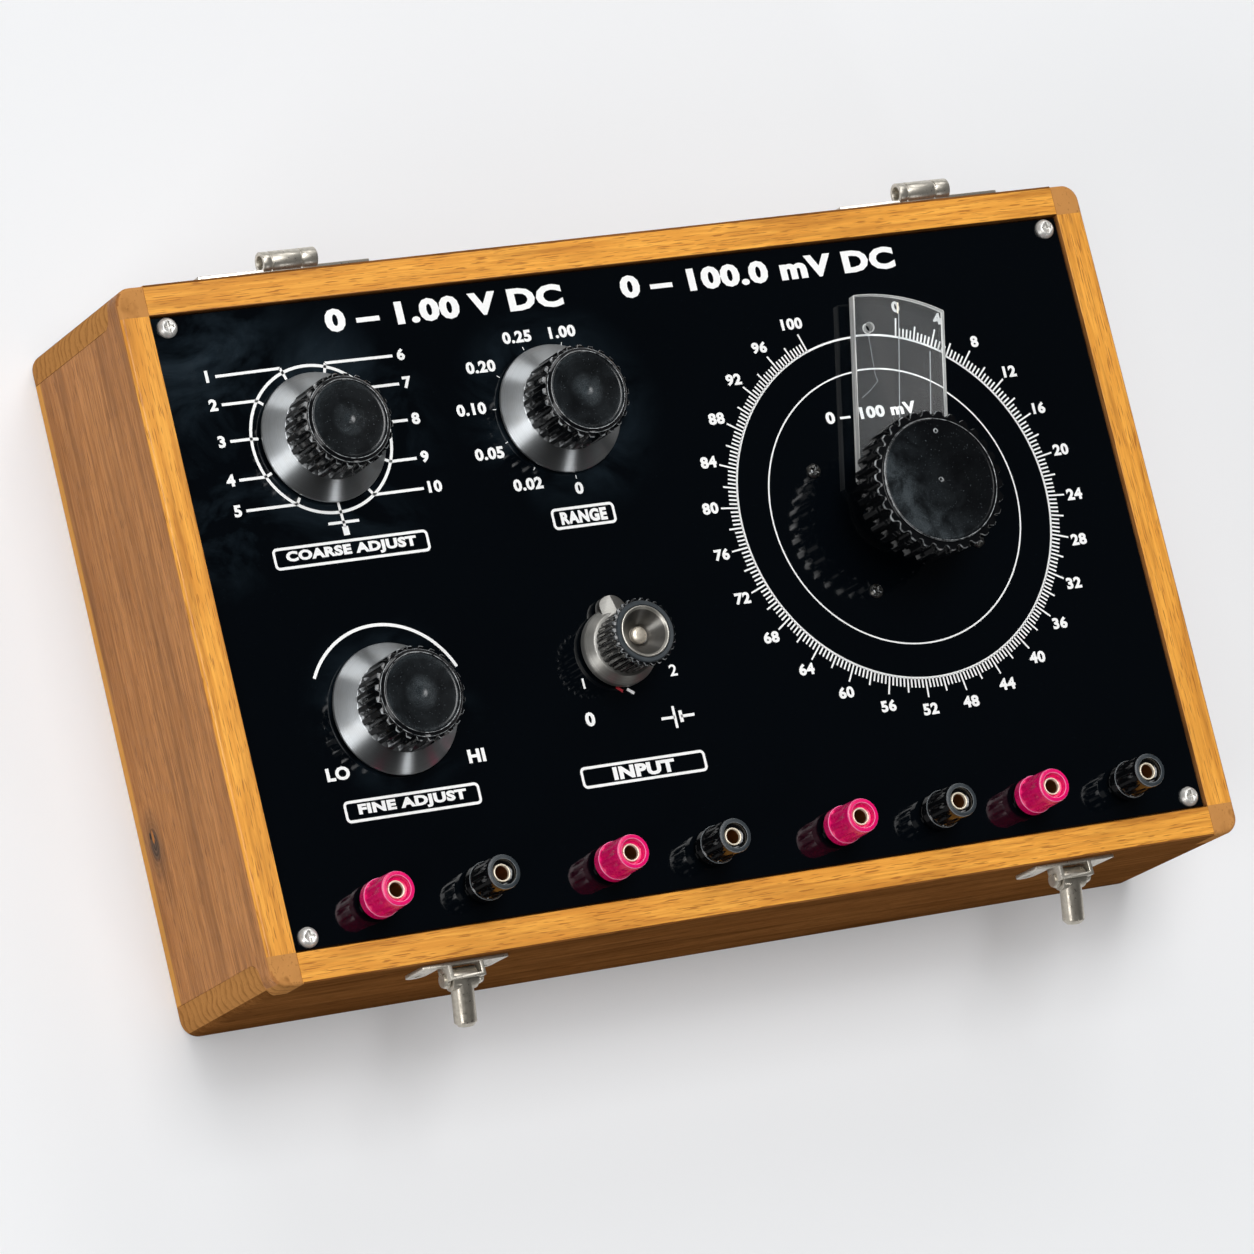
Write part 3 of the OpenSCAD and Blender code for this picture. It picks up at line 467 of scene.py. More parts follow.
def wood(name, pale, shades, along="X", seed=0.0, coat=0.3, knot=None, low_band=None):
    """Lacquered hardwood as a solid block: growth rings, fine fibres and short dark pores along the grain,
    so that faces and edges each show their own pattern. Rings 5 to 12 mm apart, fibres 0.8 mm wide and
    pores 0.35 mm wide."""
    made, tree, shader = material(
        name, pale, 0.4, Coat_Weight=coat, Coat_Roughness=0.2, IOR=1.45, Specular_IOR_Level=1.5 * coat,
    )
    mid, dark = tones(pale, shades)
    place = in_mm(tree)
    x, y, z = add(tree, "SeparateXYZ", {0: place}).outputs
    along_x = along == "X"
    grain = add(tree, "CombineXYZ", {0: x if along_x else y, 1: y if along_x else x, 2: z}).outputs[0]

    def streaks(length, width, detail, rough, shift=0.0):
        """Noise drawn out along the grain; length and width of a patch."""
        cell = (1 / length, 1 / width, 1 / width)
        return noise(tree, stretched(tree, grain, cell, (seed, shift, seed)), 1, detail, rough)

    def spot(at, long, high):
        """Distance from a point of a side board: 1 at the edge of an oval this long and high."""
        away = add(tree, "VectorMath", {0: place, 1: at}, operation="SUBTRACT").outputs[0]
        away = stretched(tree, away, (0, 1 / long, 1 / high))
        return add(tree, "VectorMath", {0: away}, operation="LENGTH").outputs["Value"]

    figure = noise(tree, stretched(tree, grain, (0.0035, 0.03, 0.035), (seed * 9, seed, 0)), 1, 2, 0.5, 0.25)
    rings = maths(tree, "MULTIPLY", figure, 15.0)
    if knot:
        heart = spot(knot, 4.2, 2.6)
        swell = maths(tree, "POWER", FALL, maths(tree, "MULTIPLY", heart, -0.45))
        rings = maths(tree, "ADD", rings, maths(tree, "MULTIPLY", swell, 6.0))
    late = ramp(tree, maths(tree, "FRACT", rings), [(0.0, 0.0), (0.5, 0.2), (0.88, 1.0), (1.0, 0.0)])
    fine = streaks(26, 0.8, 4, 0.65)
    wide = streaks(48, 3.6, 4, 0.6, 40)
    broad = streaks(130, 20, 2, 0.5, 17)
    pores = ramp(tree, streaks(6, 0.35, 1, 0.4, 90), [(0.6, 0.0), (0.67, 1.0)])
    tone = blend(tree, maths(tree, "MULTIPLY", late, 0.6), tuple(pale), mid)
    tone = blend(tree, ramp(tree, fine, [(0.38, 0.0), (0.6, 0.95)]), tone, mid)
    clouded = 0.12 if coat > 0.1 else 0.4
    tone = blend(tree, ramp(tree, broad, [(0.42, 0.0), (0.66, clouded)], "EASE"), tone, dark)
    tone = blend(tree, ramp(tree, wide, [(0.48, 0.0), (0.72, 0.75)]), tone, dark)
    tone = blend(tree, maths(tree, "MULTIPLY", pores, 0.75), tone, dark)
    if low_band:
        band = ramp(tree, maths(tree, "DIVIDE", z, CASE_Z), [(0.045, 0.65), (0.06, 0.0)])
        tone = blend(tree, band, tone, low_band)
    if knot:
        kx, ky, kz = knot
        tail = ramp(tree, spot((kx, ky - 11, kz + 3), 11, 4.5), [(0.1, 0.8), (1.0, 0.0)])
        tail = maths(tree, "MULTIPLY", tail, ramp(tree, fine, [(0.38, 0.2), (0.58, 1.0)]))
        tone = blend(tree, tail, tone, dark)
        ring = maths(tree, "DIVIDE", heart, 3.0)
        halo = ramp(tree, ring, [(0.0, 1.0), (0.3, 0.9), (0.4, 0.45), (0.95, 0.0)])
        eye = maths(tree, "FRACT", maths(tree, "MULTIPLY", heart, 2.6))
        tone = blend(tree, halo, tone, ramp(tree, eye, [(0.2, colour("665040")), (0.75, colour("33261C"))]))
        split = ramp(tree, spot((kx, ky + 2.4, kz - 0.2), 2.2, 0.8), [(0.7, 1.0), (1.0, 0.0)])
        tone = blend(tree, split, tone, colour("C07A34"))
        hole = ramp(tree, spot((kx, ky + 3.0, kz - 1.7), 1.2, 0.7), [(0.7, 1.0), (1.0, 0.0)])
        tone = blend(tree, hole, tone, colour("1A120C"))
    link(tree, tone, shader, "Base Color")
    link(tree, ramp(tree, fine, [(0.2, 0.34), (0.8, 0.56)]), shader, "Roughness")
    relief = maths(tree, "SUBTRACT", maths(tree, "MULTIPLY", fine, 0.4), pores)
    bump(tree, shader, relief, 0.05, 0.5)
    return made


def end_grain(name, pale):
    """Sawn end of a board: growth rings cut across as brown lines about 3.6 mm apart, with fine pores."""
    made, tree, shader = material(name, pale, 0.45, IOR=1.45, Specular_IOR_Level=0.0)
    place = in_mm(tree)
    height = add(tree, "SeparateXYZ", {0: place}).outputs[2]
    drift = maths(tree, "MULTIPLY", noise(tree, stretched(tree, place, (0.1, 0.1, 0.06)), 1, 2), 3.0)
    ring = maths(tree, "FRACT", maths(tree, "ADD", maths(tree, "DIVIDE", height, 3.6), drift))
    line = ramp(tree, ring, [(0.0, 0.0), (0.5, 0.15), (0.85, 0.9), (1.0, 0.0)])
    patches = noise(tree, stretched(tree, place, (0.5, 0.3, 1.0)), 1, 2)
    broken = ramp(tree, patches, [(0.35, 0.3), (0.65, 1.0)])
    dots = noise(tree, stretched(tree, place, (1.6, 0.9, 2.4)), 1, 1)
    pores = ramp(tree, dots, [(0.62, 0.0), (0.72, 0.35)])
    mid, dark = tones(pale, TEAK)
    brown = tuple(0.5 * (a + b) for a, b in zip(mid, dark))
    tone = blend(tree, maths(tree, "MULTIPLY", line, broken), tuple(pale), brown)
    link(tree, blend(tree, pores, tone, dark), shader, "Base Color")
    bump(tree, shader, maths(tree, "SUBTRACT", 1.0, pores), 0.05, 0.5)
    return made


# Cloudy places on the panel: where, and how far they reach
CLOUDY = (((-142, 80), 42), (COARSE, 44), (VOLTS, 36), ((-146, 30), 26), (LINE, 30))


def polished_panel(name):
    """Glossy black phenolic sheet: near black, with a thin bluish cloudy film, fine dust and faint rub marks.
    Clouds 15 to 40 mm across, dust specks about 0.2 mm."""
    panel = settings().panel
    made, tree, shader = material(name, panel.black, 0.1, IOR=1.5)
    place = in_mm(tree)
    cloud = noise(tree, stretched(tree, place, (0.03, 0.045, 0.03)), 1, 5, 0.62, 0.8)
    near = None
    for at, reach in CLOUDY:
        away = add(tree, "VectorMath", {0: place, 1: (*at, PANEL_Z)}, operation="DISTANCE").outputs["Value"]
        spot = ramp(tree, maths(tree, "DIVIDE", away, reach), [(0.35, 1.0), (1.0, 0.0)], "EASE")
        near = spot if near is None else maths(tree, "MAXIMUM", near, spot)
    film = maths(tree, "MULTIPLY", ramp(tree, cloud, [(0.42, 0.0), (0.75, 1.0)]), near)
    dust = ramp(tree, noise(tree, place, 2.2, 1, 0.5), [(0.74, 0.0), (0.78, 1.0)])
    film = maths(tree, "ADD", maths(tree, "MULTIPLY", film, 0.55), maths(tree, "MULTIPLY", dust, 0.16))
    link(tree, blend(tree, film, tuple(panel.black), tuple(panel.haze)), shader, "Base Color")
    rub = noise(tree, stretched(tree, place, (0.4, 0.12, 1)), 1, 4, 0.7)
    gloss = ramp(tree, rub, [(0.3, 0.03), (0.8, 0.09)])
    link(tree, maths(tree, "ADD", maths(tree, "MULTIPLY", film, 0.25), gloss), shader, "Roughness")
    bump(tree, shader, noise(tree, stretched(tree, place, (0.02, 0.02, 0.02)), 1, 1), 0.03, 0.2)
    return made


def moulded(name, base, roughness, grain=0.5):
    """Moulded plastic: even colour with a slightly uneven gloss and a fine orange-peel skin, about 0.5 mm."""
    made, tree, shader = material(name, base, roughness, IOR=1.52)
    place = in_mm(tree)
    skin = noise(tree, place, 1.1, 3, 0.55)
    worn = noise(tree, place, 0.35, 4, 0.65)
    light = tuple(min(1.0, c * 1.2 + 0.003) for c in base)
    tone = blend(tree, ramp(tree, worn, [(0.4, 0.0), (0.75, 0.6)]), tuple(base), light)
    link(tree, tone, shader, "Base Color")
    link(tree, ramp(tree, worn, [(0.3, roughness * 0.85), (0.75, roughness * 1.3)]), shader, "Roughness")
    bump(tree, shader, skin, 0.02 * grain, 0.6)
    return made


def worn_edge(name):
    """Edges of the black grips, light grey and a little matt, patchy every 2 to 4 mm: partly rubbed wear,
    partly painted highlight.
    """
    made, tree, shader = material(name, (0.1, 0.105, 0.11), 0.3, IOR=1.52)
    patch = noise(tree, in_mm(tree), 0.6, 3, 0.6)
    link(tree, ramp(tree, patch, [(0.36, colour("1C2023")), (0.62, colour("B4B8BA"))]), shader, "Base Color")
    link(tree, ramp(tree, patch, [(0.3, 0.16), (0.7, 0.34)]), shader, "Roughness")
    return made


def from_axis(tree, place, at):
    """Level vector from a knob's axis, and its length, in mm."""
    apart = add(tree, "VectorMath", {0: place, 1: (*at, 0)}, operation="SUBTRACT").outputs[0]
    flat = add(tree, "VectorMath", {0: apart, 1: (1, 1, 0)}, operation="MULTIPLY").outputs[0]
    return flat, add(tree, "VectorMath", {0: flat}, operation="LENGTH").outputs["Value"]


def outward(tree, radius, scale):
    """Coordinates that change with the radius alone, for turned rings."""
    return add(tree, "CombineXYZ", {0: maths(tree, "MULTIPLY", radius, scale)}).outputs[0]


def matt_face(name, at, tone, spread, side_haze=False):
    """Black disc set in a knob, dulled where it was rubbed: cloudy round its middle, or along its left side,
    with faint rings and speckle under 0.3 mm."""
    made, tree, shader = material(name, tone, 0.3, IOR=1.5)
    place = in_mm(tree)
    flat, radius = from_axis(tree, place, at)
    rings = noise(tree, outward(tree, radius, 1.3), 1, 4, 0.7)
    cloud = noise(tree, stretched(tree, place, (0.16, 0.16, 0.1)), 1, 4, 0.6, 0.4)
    speckle = noise(tree, place, 4.0, 2, 0.7)
    if side_haze:
        left = (-0.9, -0.45, 0)
        side = add(tree, "VectorMath", {0: flat, 1: left}, operation="DOT_PRODUCT").outputs["Value"]
        side = maths(tree, "ADD", maths(tree, "DIVIDE", side, 2 * spread), 0.5)
        film = ramp(tree, side, [(0.3, 0.05), (0.62, 0.25), (0.85, 1.0), (1.0, 0.7)])
    else:
        out = maths(tree, "DIVIDE", radius, spread)
        film = ramp(tree, out, [(0.0, 1.0), (0.3, 0.6), (0.5, 0.12), (0.85, 0.2), (1.0, 0.5)])
    film = maths(tree, "MULTIPLY", film, ramp(tree, cloud, [(0.34, 0.12), (0.62, 1.0)]))
    film = maths(tree, "MULTIPLY", film, ramp(tree, speckle, [(0.38, 0.35), (0.62, 1.0)]))
    film = maths(tree, "MULTIPLY", film, ramp(tree, rings, [(0.35, 0.7), (0.7, 1.0)]))
    specks = ramp(tree, noise(tree, place, 2.6, 1, 0.5), [(0.73, 0.0), (0.76, 0.8)])
    film = maths(tree, "MAXIMUM", film, specks)
    link(tree, blend(tree, film, tuple(tone), colour("4A5358")), shader, "Base Color")
    link(tree, maths(tree, "ADD", maths(tree, "MULTIPLY", film, 0.3), 0.17), shader, "Roughness")
    bump(tree, shader, speckle, 0.012, 0.5)
    return made


def spun_metal(name, at, base="B8BCBF", roughness=0.3, anisotropy=0.8):
    """Aluminium spun on a lathe: fine rings about 0.15 mm apart round its axis, which draw bright fans."""
    made, tree, shader = material(name, colour(base), roughness, Metallic=1.0, Anisotropic=anisotropy)
    place = in_mm(tree)
    flat, radius = from_axis(tree, place, at)
    link(tree, add(tree, "VectorMath", {0: flat}, operation="NORMALIZE").outputs[0], shader, "Tangent")
    rings = noise(tree, outward(tree, radius, 5.0), 1, 3, 0.7)
    cloud = noise(tree, place, 0.25, 3, 0.6)
    tone = blend(tree, ramp(tree, rings, [(0.35, 0.0), (0.7, 0.6)]), colour(base), colour("767879"))
    tone = blend(tree, ramp(tree, cloud, [(0.45, 0.0), (0.8, 0.25)]), tone, colour("8A857C"))
    link(tree, tone, shader, "Base Color")
    link(tree, ramp(tree, rings, [(0.2, roughness * 0.8), (0.8, roughness * 1.25)]), shader, "Roughness")
    bump(tree, shader, rings, 0.006, 0.35)
    return made


def nickel(name, base="D6D0C4", roughness=0.34, metal=0.85):
    """Satin nickel plate: warm silver with a faint uneven gloss, handling marks 1 to 3 mm across."""
    made, tree, shader = material(name, colour(base), roughness, Metallic=metal)
    place = in_mm(tree)
    marks = noise(tree, place, 0.8, 4, 0.65)
    tone = blend(tree, ramp(tree, marks, [(0.4, 0.0), (0.75, 0.5)]), colour(base), colour("8F8A80"))
    link(tree, tone, shader, "Base Color")
    link(tree, ramp(tree, marks, [(0.3, roughness * 0.7), (0.8, roughness * 1.5)]), shader, "Roughness")
    bump(tree, shader, noise(tree, place, 3, 2), 0.004, 0.5)
    return made


def brass(name, base="D8B878", roughness=0.28, metal=1.0):
    """Turned brass: warm yellow, slightly dulled in patches of 1 to 2 mm."""
    made, tree, shader = material(name, colour(base), roughness, Metallic=metal)
    marks = noise(tree, in_mm(tree), 1.1, 3, 0.6)
    tone = blend(tree, ramp(tree, marks, [(0.5, 0.0), (0.8, 0.5)]), colour(base), colour("8A6A38"))
    link(tree, tone, shader, "Base Color")
    link(tree, ramp(tree, marks, [(0.3, roughness * 0.8), (0.8, roughness * 1.6)]), shader, "Roughness")
    return made


def white_paint(name):
    """White filling of engraved marks: clean, slightly uneven, patches of about 1 mm."""
    paint = settings().mark.paint
    made, tree, shader = material(name, paint, 0.55, IOR=1.45)
    patch = noise(tree, in_mm(tree), 1.2, 3, 0.6)
    worn, fresh = tones(paint, WHITES)
    link(tree, ramp(tree, patch, [(0.3, worn), (0.7, fresh)]), shader, "Base Color")
    return made


def acrylic(name):
    """Clear acrylic, a little milky with age: most light passes, and a thin white veil stays, uneven over
    10 mm across and 50 mm along. It lets light through to the marks below it."""
    made, tree, shader = material(name, colour("FAFBFB"), 0.01, IOR=1.49, Transmission_Weight=0.955)
    place = in_mm(tree)
    veil = noise(tree, stretched(tree, place, (0.09, 0.02, 0.05)), 1, 2, 0.5, 0.2)
    link(tree, ramp(tree, veil, [(0.35, colour("E2E5E6")), (0.65, colour("FEFEFE"))]), shader, "Base Color")
    through = add(tree, "LightPath").outputs["Is Shadow Ray"]
    link(tree, maths(tree, "SUBTRACT", 1.0, maths(tree, "MULTIPLY", through, 0.94)), shader, "Alpha")
    return made


def acrylic_edge(name):
    """Filed edge of the acrylic: it gathers light and reads nearly white, with file lines 0.4 mm apart."""
    made, tree, shader = material(name, colour("F2F3F2"), 0.35, IOR=1.49, Transmission_Weight=0.15)
    lines = noise(tree, stretched(tree, in_mm(tree), (0.04, 0.04, 2.4)), 1, 2, 0.6)
    link(tree, ramp(tree, lines, [(0.35, colour("A9ACAD")), (0.6, colour("F7F7F4"))]), shader, "Base Color")
    return made


def plywood(name):
    """Birch plywood: pale and plain, with faint grain lines 1 to 2 mm apart."""
    made, tree, shader = material(name, colour("C09A64"), 0.62, IOR=1.45)
    place = in_mm(tree)
    grain = noise(tree, stretched(tree, place, (0.02, 0.5, 2.0)), 1, 4, 0.6, 0.3)
    link(tree, ramp(tree, grain, [(0.3, colour("CDAA74")), (0.7, colour("A27C48"))]), shader, "Base Color")
    bump(tree, shader, grain, 0.04, 0.4)
    return made


def fibre_board(name):
    """Brown laminated switch board: layered streaks 1 mm apart, dull gloss."""
    made, tree, shader = material(name, colour("6B4020"), 0.4, IOR=1.52)
    layers = noise(tree, stretched(tree, in_mm(tree), (0.15, 0.15, 3.0)), 1, 3, 0.6)
    link(tree, ramp(tree, layers, [(0.35, colour("7A4C28")), (0.7, colour("4A2A14"))]), shader, "Base Color")
    return made


def copper_wire(name):
    """Close-wound enamelled wire: ridges 0.4 mm apart along Z with a copper sheen, painted darker between the
    turns as painted shade and lighter on their crowns as painted highlight.
    """
    made, tree, shader = material(name, colour("B8703C"), 0.35, Metallic=1.0)
    height = add(tree, "SeparateXYZ", {0: in_mm(tree)}).outputs[2]
    ridge = maths(tree, "SINE", maths(tree, "MULTIPLY", height, 15.7))
    # The colour follows the ridges: painted shade in the grooves, painted highlight on the crowns.
    link(tree, ramp(tree, ridge, [(0.1, colour("6E3C1C")), (0.8, colour("C8824C"))]), shader, "Base Color")
    bump(tree, shader, ridge, 0.08, 0.7)
    return made


def slate(name):
    """Slate former: dark blue-grey stone with thin cleavage streaks."""
    made, tree, shader = material(name, colour("43464A"), 0.6)
    streak = noise(tree, stretched(tree, in_mm(tree), (0.1, 0.3, 0.8)), 1, 4, 0.6)
    link(tree, ramp(tree, streak, [(0.3, colour("3A3D41")), (0.7, colour("55595D"))]), shader, "Base Color")
    bump(tree, shader, streak, 0.05, 0.5)
    return made


class Shelf:
    """Finishes shared by several pieces, made on first use."""

    made = {}

    @classmethod
    def take(cls, name, maker, *values):
        if name not in cls.made:
            cls.made[name] = maker(name, *values)
        return cls.made[name]


def shared(kind):
    """One of the finishes that several pieces share, by its name."""
    makers = {
        "Nickel plate": (nickel,),
        "Bright nickel screws": (nickel, "F0EEEA", 0.34, 0.6),
        "Blackened screws": (nickel, "4A4C4E", 0.3, 1.0),
        "Black bakelite": (moulded, tuple(settings().knob.black), 0.1, 0.08),
        "Slate-grey bakelite": (moulded, colour("2A3136"), 0.4, 0.3),
        "Rubbed bakelite edge": (worn_edge,),
        "Turned brass": (brass,),
        "Copper winding": (copper_wire,),
        "Brown laminate": (fibre_board,),
    }
    return Shelf.take(kind, *makers[kind])


# Pieces

FACING = 0.7  # a face looks along an axis where its normal reaches this share of it


def outline_point(vert):
    """True where a vertex lies on the outer walls of the case."""
    x, y = abs(vert.co.x) / MM, abs(vert.co.y) / MM
    if x > CASE_X - ON_WALL or y > CASE_Y - ON_WALL:
        return True
    dx, dy = x - (CASE_X - CORNER_R), y - (CASE_Y - CORNER_R)
    return dx > 0 and dy > 0 and abs(math.hypot(dx, dy) - CORNER_R) < ON_ARC


class POTENTIOMETER_OT_boards(bpy.types.Operator):
    """Rounds the four boards of the case and gives them lacquered wood"""

    bl_idname = "potentiometer.boards"
    bl_label = "Boards"

    def weight(self, edge):
        """Share of the full rounding that an edge gets."""
        if corner(edge) < 25:
            return 0.0
        ends = [(abs(v.co.x) / MM, abs(v.co.y) / MM, v.co.z / MM) for v in edge.verts]
        top = all(z > CASE_Z - NEAR for _, _, z in ends)
        low = all(z < NEAR for _, _, z in ends)
        outer = all(outline_point(v) for v in edge.verts)
        inside_x = all(abs(x - OPEN_X) < NEAR and y < OPEN_Y + NEAR for x, y, _ in ends)
        inside_y = all(abs(y - OPEN_Y) < NEAR and x < OPEN_X + NEAR for x, y, _ in ends)
        along = edge.calc_length() > 20 * MM
        if top and outer:
            return 1.0
        if top and along and (inside_x or inside_y):
            return 0.4
        if top or outer:
            return 0.4 if low else 0.1
        return 0.0

    def execute(self, context):
        case = settings().case
        light, dark = tuple(case.light_wood), tuple(case.dark_wood)
        ends = end_grain("Sawn board ends", tuple(0.13 * a + 0.72 * b for a, b in zip(light, dark)))
        # The front and rear outer faces get the same brown at about half its tone, as painted shade; the side
        # boards keep warm, their own tone.
        warm, painted_shade_brown = tones(dark, ((1.14, 1.09, 0.96), (0.5, 0.46, 0.38)))
        boards = (
            ("front_board", "X", 11.0), ("rear_board", "X", 47.0),
            ("left_side_board", "Y", 83.0), ("right_side_board", "Y", 120.0),
        )
        for name, along, seed in boards:
            side = "side" in name
            knot = KNOT if name == "left_side_board" else None
            label = name.replace("_", " ")
            rim = wood("Golden lacquered rim, " + label, light, GOLDEN, along, seed, 0.2)
            tone = warm if side else painted_shade_brown
            coat, band = (0.06, light) if side else (0.0, None)
            outer = wood("Brown oiled face, " + label, tone, TEAK, along, seed, coat, knot, band)
            bm = cad_copy(name)
            for y in (-OPEN_Y, OPEN_Y):
                slice_at(bm, (0, y, 0), (0, 1, 0))
            layer = bm.edges.layers.float.new("bevel_weight_edge")
            for edge in bm.edges:
                edge[layer] = self.weight(edge)
            bmesh.ops.recalc_face_normals(bm, faces=bm.faces)
            for face in bm.faces:
                turned = face.normal
                if turned.z > FACING:
                    face.material_index = 2 * int(side and abs(face.calc_center_median().y) > OPEN_Y * MM)
                elif abs(turned.x) > FACING:
                    face.material_index = 1 if side else 2
                else:
                    face.material_index = 2 if side and abs(turned.y) > FACING else 1
            made = piece(name + "_rounded", bm, [rim, outer, ends], "case", [name])
            finish = made.modifiers.new("Rounded edges", "BEVEL")
            finish.width = case.edge_radius
            finish.limit_method = "WEIGHT"
            finish.segments = 3
            finish.use_clamp_overlap = False
            finish.harden_normals = True
        return {"FINISHED"}


class POTENTIOMETER_OT_panel(bpy.types.Operator):
    """Gives the instrument panel its thin bevel and polished finish, and the screws their edges"""

    bl_idname = "potentiometer.panel"
    bl_label = "Panel"

    def execute(self, context):
        bm = cad_copy("instrument_panel")
        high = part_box("instrument_panel")[1]

        def rim(edge):
            near = 0.01 * MM
            return all(
                v.co.z > high.z - near and (abs(v.co.x) > high.x - near or abs(v.co.y) > high.y - near)
                for v in edge.verts
            )

        def above(edge):
            return all(v.co.z > (PANEL_Z + 0.2) * MM for v in edge.verts)

        soften(bm, settings().panel.edge / MM, rim)
        finish = Shelf.take("Polished black phenolic", polished_panel)
        piece("panel_sheet", bm, [finish], "case", ["instrument_panel"], 15)
        screws = (("panel_screws", "Bright nickel screws", 0.12), ("former_screws", "Blackened screws", 0.1))
        for name, label, width in screws:
            bm = cad_copy(name)
            soften(bm, width, above, 50)
            piece(name + "_turned", bm, [shared(label)], "case", [name])
        return {"FINISHED"}


class POTENTIOMETER_OT_fittings(bpy.types.Operator):
    """Softens the edges of the hinges and catches and plates them"""

    bl_idname = "potentiometer.fittings"
    bl_label = "Hinges and catches"

    def execute(self, context):
        plate = shared("Nickel plate")
        for name in ("hinge_left", "hinge_right", "catch_plate_left", "catch_plate_right"):
            bm = cad_copy(name)
            soften(bm, 0.12, angle=50)
            piece(name + "_plated", bm, [plate], "case", [name])
        satin = Shelf.take("Satin nickel studs", nickel, "C2BBAE", 0.34, 0.9)
        for name in ("catch_stud_left", "catch_stud_right"):
            bm = cad_copy(name)
            soften(bm, 0.2)
            piece(name + "_turned", bm, [satin], name, [name])
        return {"FINISHED"}


class POTENTIOMETER_OT_skirted_knobs(bpy.types.Operator):
    """Makes the coarse, volts and line knobs: spun skirt, fluted grip and matt face"""

    bl_idname = "potentiometer.skirted_knobs"
    bl_label = "Skirted knobs"

    def execute(self, context):
        knob = settings().knob
        depth = knob.flute_depth / MM
        grip_finishes = [shared("Black bakelite"), shared("Rubbed bakelite edge")]
        for name, at, turn in (("coarse", COARSE, 0.0), ("volts", VOLTS, 0.09), ("line", LINE, 0.2)):
            body = name + "_dial"
            skirt = bmesh.new()
            lathe(skirt, rounded([
                (19.0, 1.2, 0.2), (19.0, 2.0, 0.25), (13.5, 5.8, 0.1), (3.1, 5.8),
                (3.1, 4.4), (12.2, 4.4), (17.6, 1.2),
            ], closed=True), 128, True)
            put(skirt, at, PANEL_Z)
            spun = spun_metal("Spun aluminium, " + name, at)
            piece(name + "_skirt_spun", skirt, [spun], body, [name + "_skirt"])
            grip = bmesh.new()
            loft(grip, grip_rows(knob.flutes, SQUARE_FLUTE, (
                (13.2, depth - 0.1, 5.8),
                (13.7, depth, 6.3),
                (13.7, depth, 12.0),
                (13.7, depth, 18.4),
                (13.4, depth - 0.3, 18.8, 1),
                (12.95, 0.3, 18.9),
                (12.62, 0, 18.92),
                (12.55, 0, 19.3),
                (12.42, 0, 19.44, 1),
                (12.25, 0, 19.54),
                (11.85, 0, 19.9),
                (11.55, 0, 20.0),
                (11.38, 0, 19.94, 1),
                (11.22, 0, 19.8),
                (11.2, 0, 19.15),
            )))
            put(grip, at, PANEL_Z, turn)
            piece(name + "_grip", grip, grip_finishes, body, [name + "_knob"])
            face = bmesh.new()
            lathe(face, rounded([
                (0, 19.2), (11.15, 19.2), (11.15, 19.85, 0.12), (10.7, 19.86, 0.2), (10.3, 19.76, 0.2),
                (1.5, 19.72, 0.4), (0.7, 19.5, 0.2), (0, 19.45),
            ]), 96)
            put(face, at, PANEL_Z)
            finish = matt_face("Rubbed black face, " + name, at, tuple(knob.face), 11.0)
            piece(name + "_face_disc", face, [finish], body, [name + "_face"])
        return {"FINISHED"}


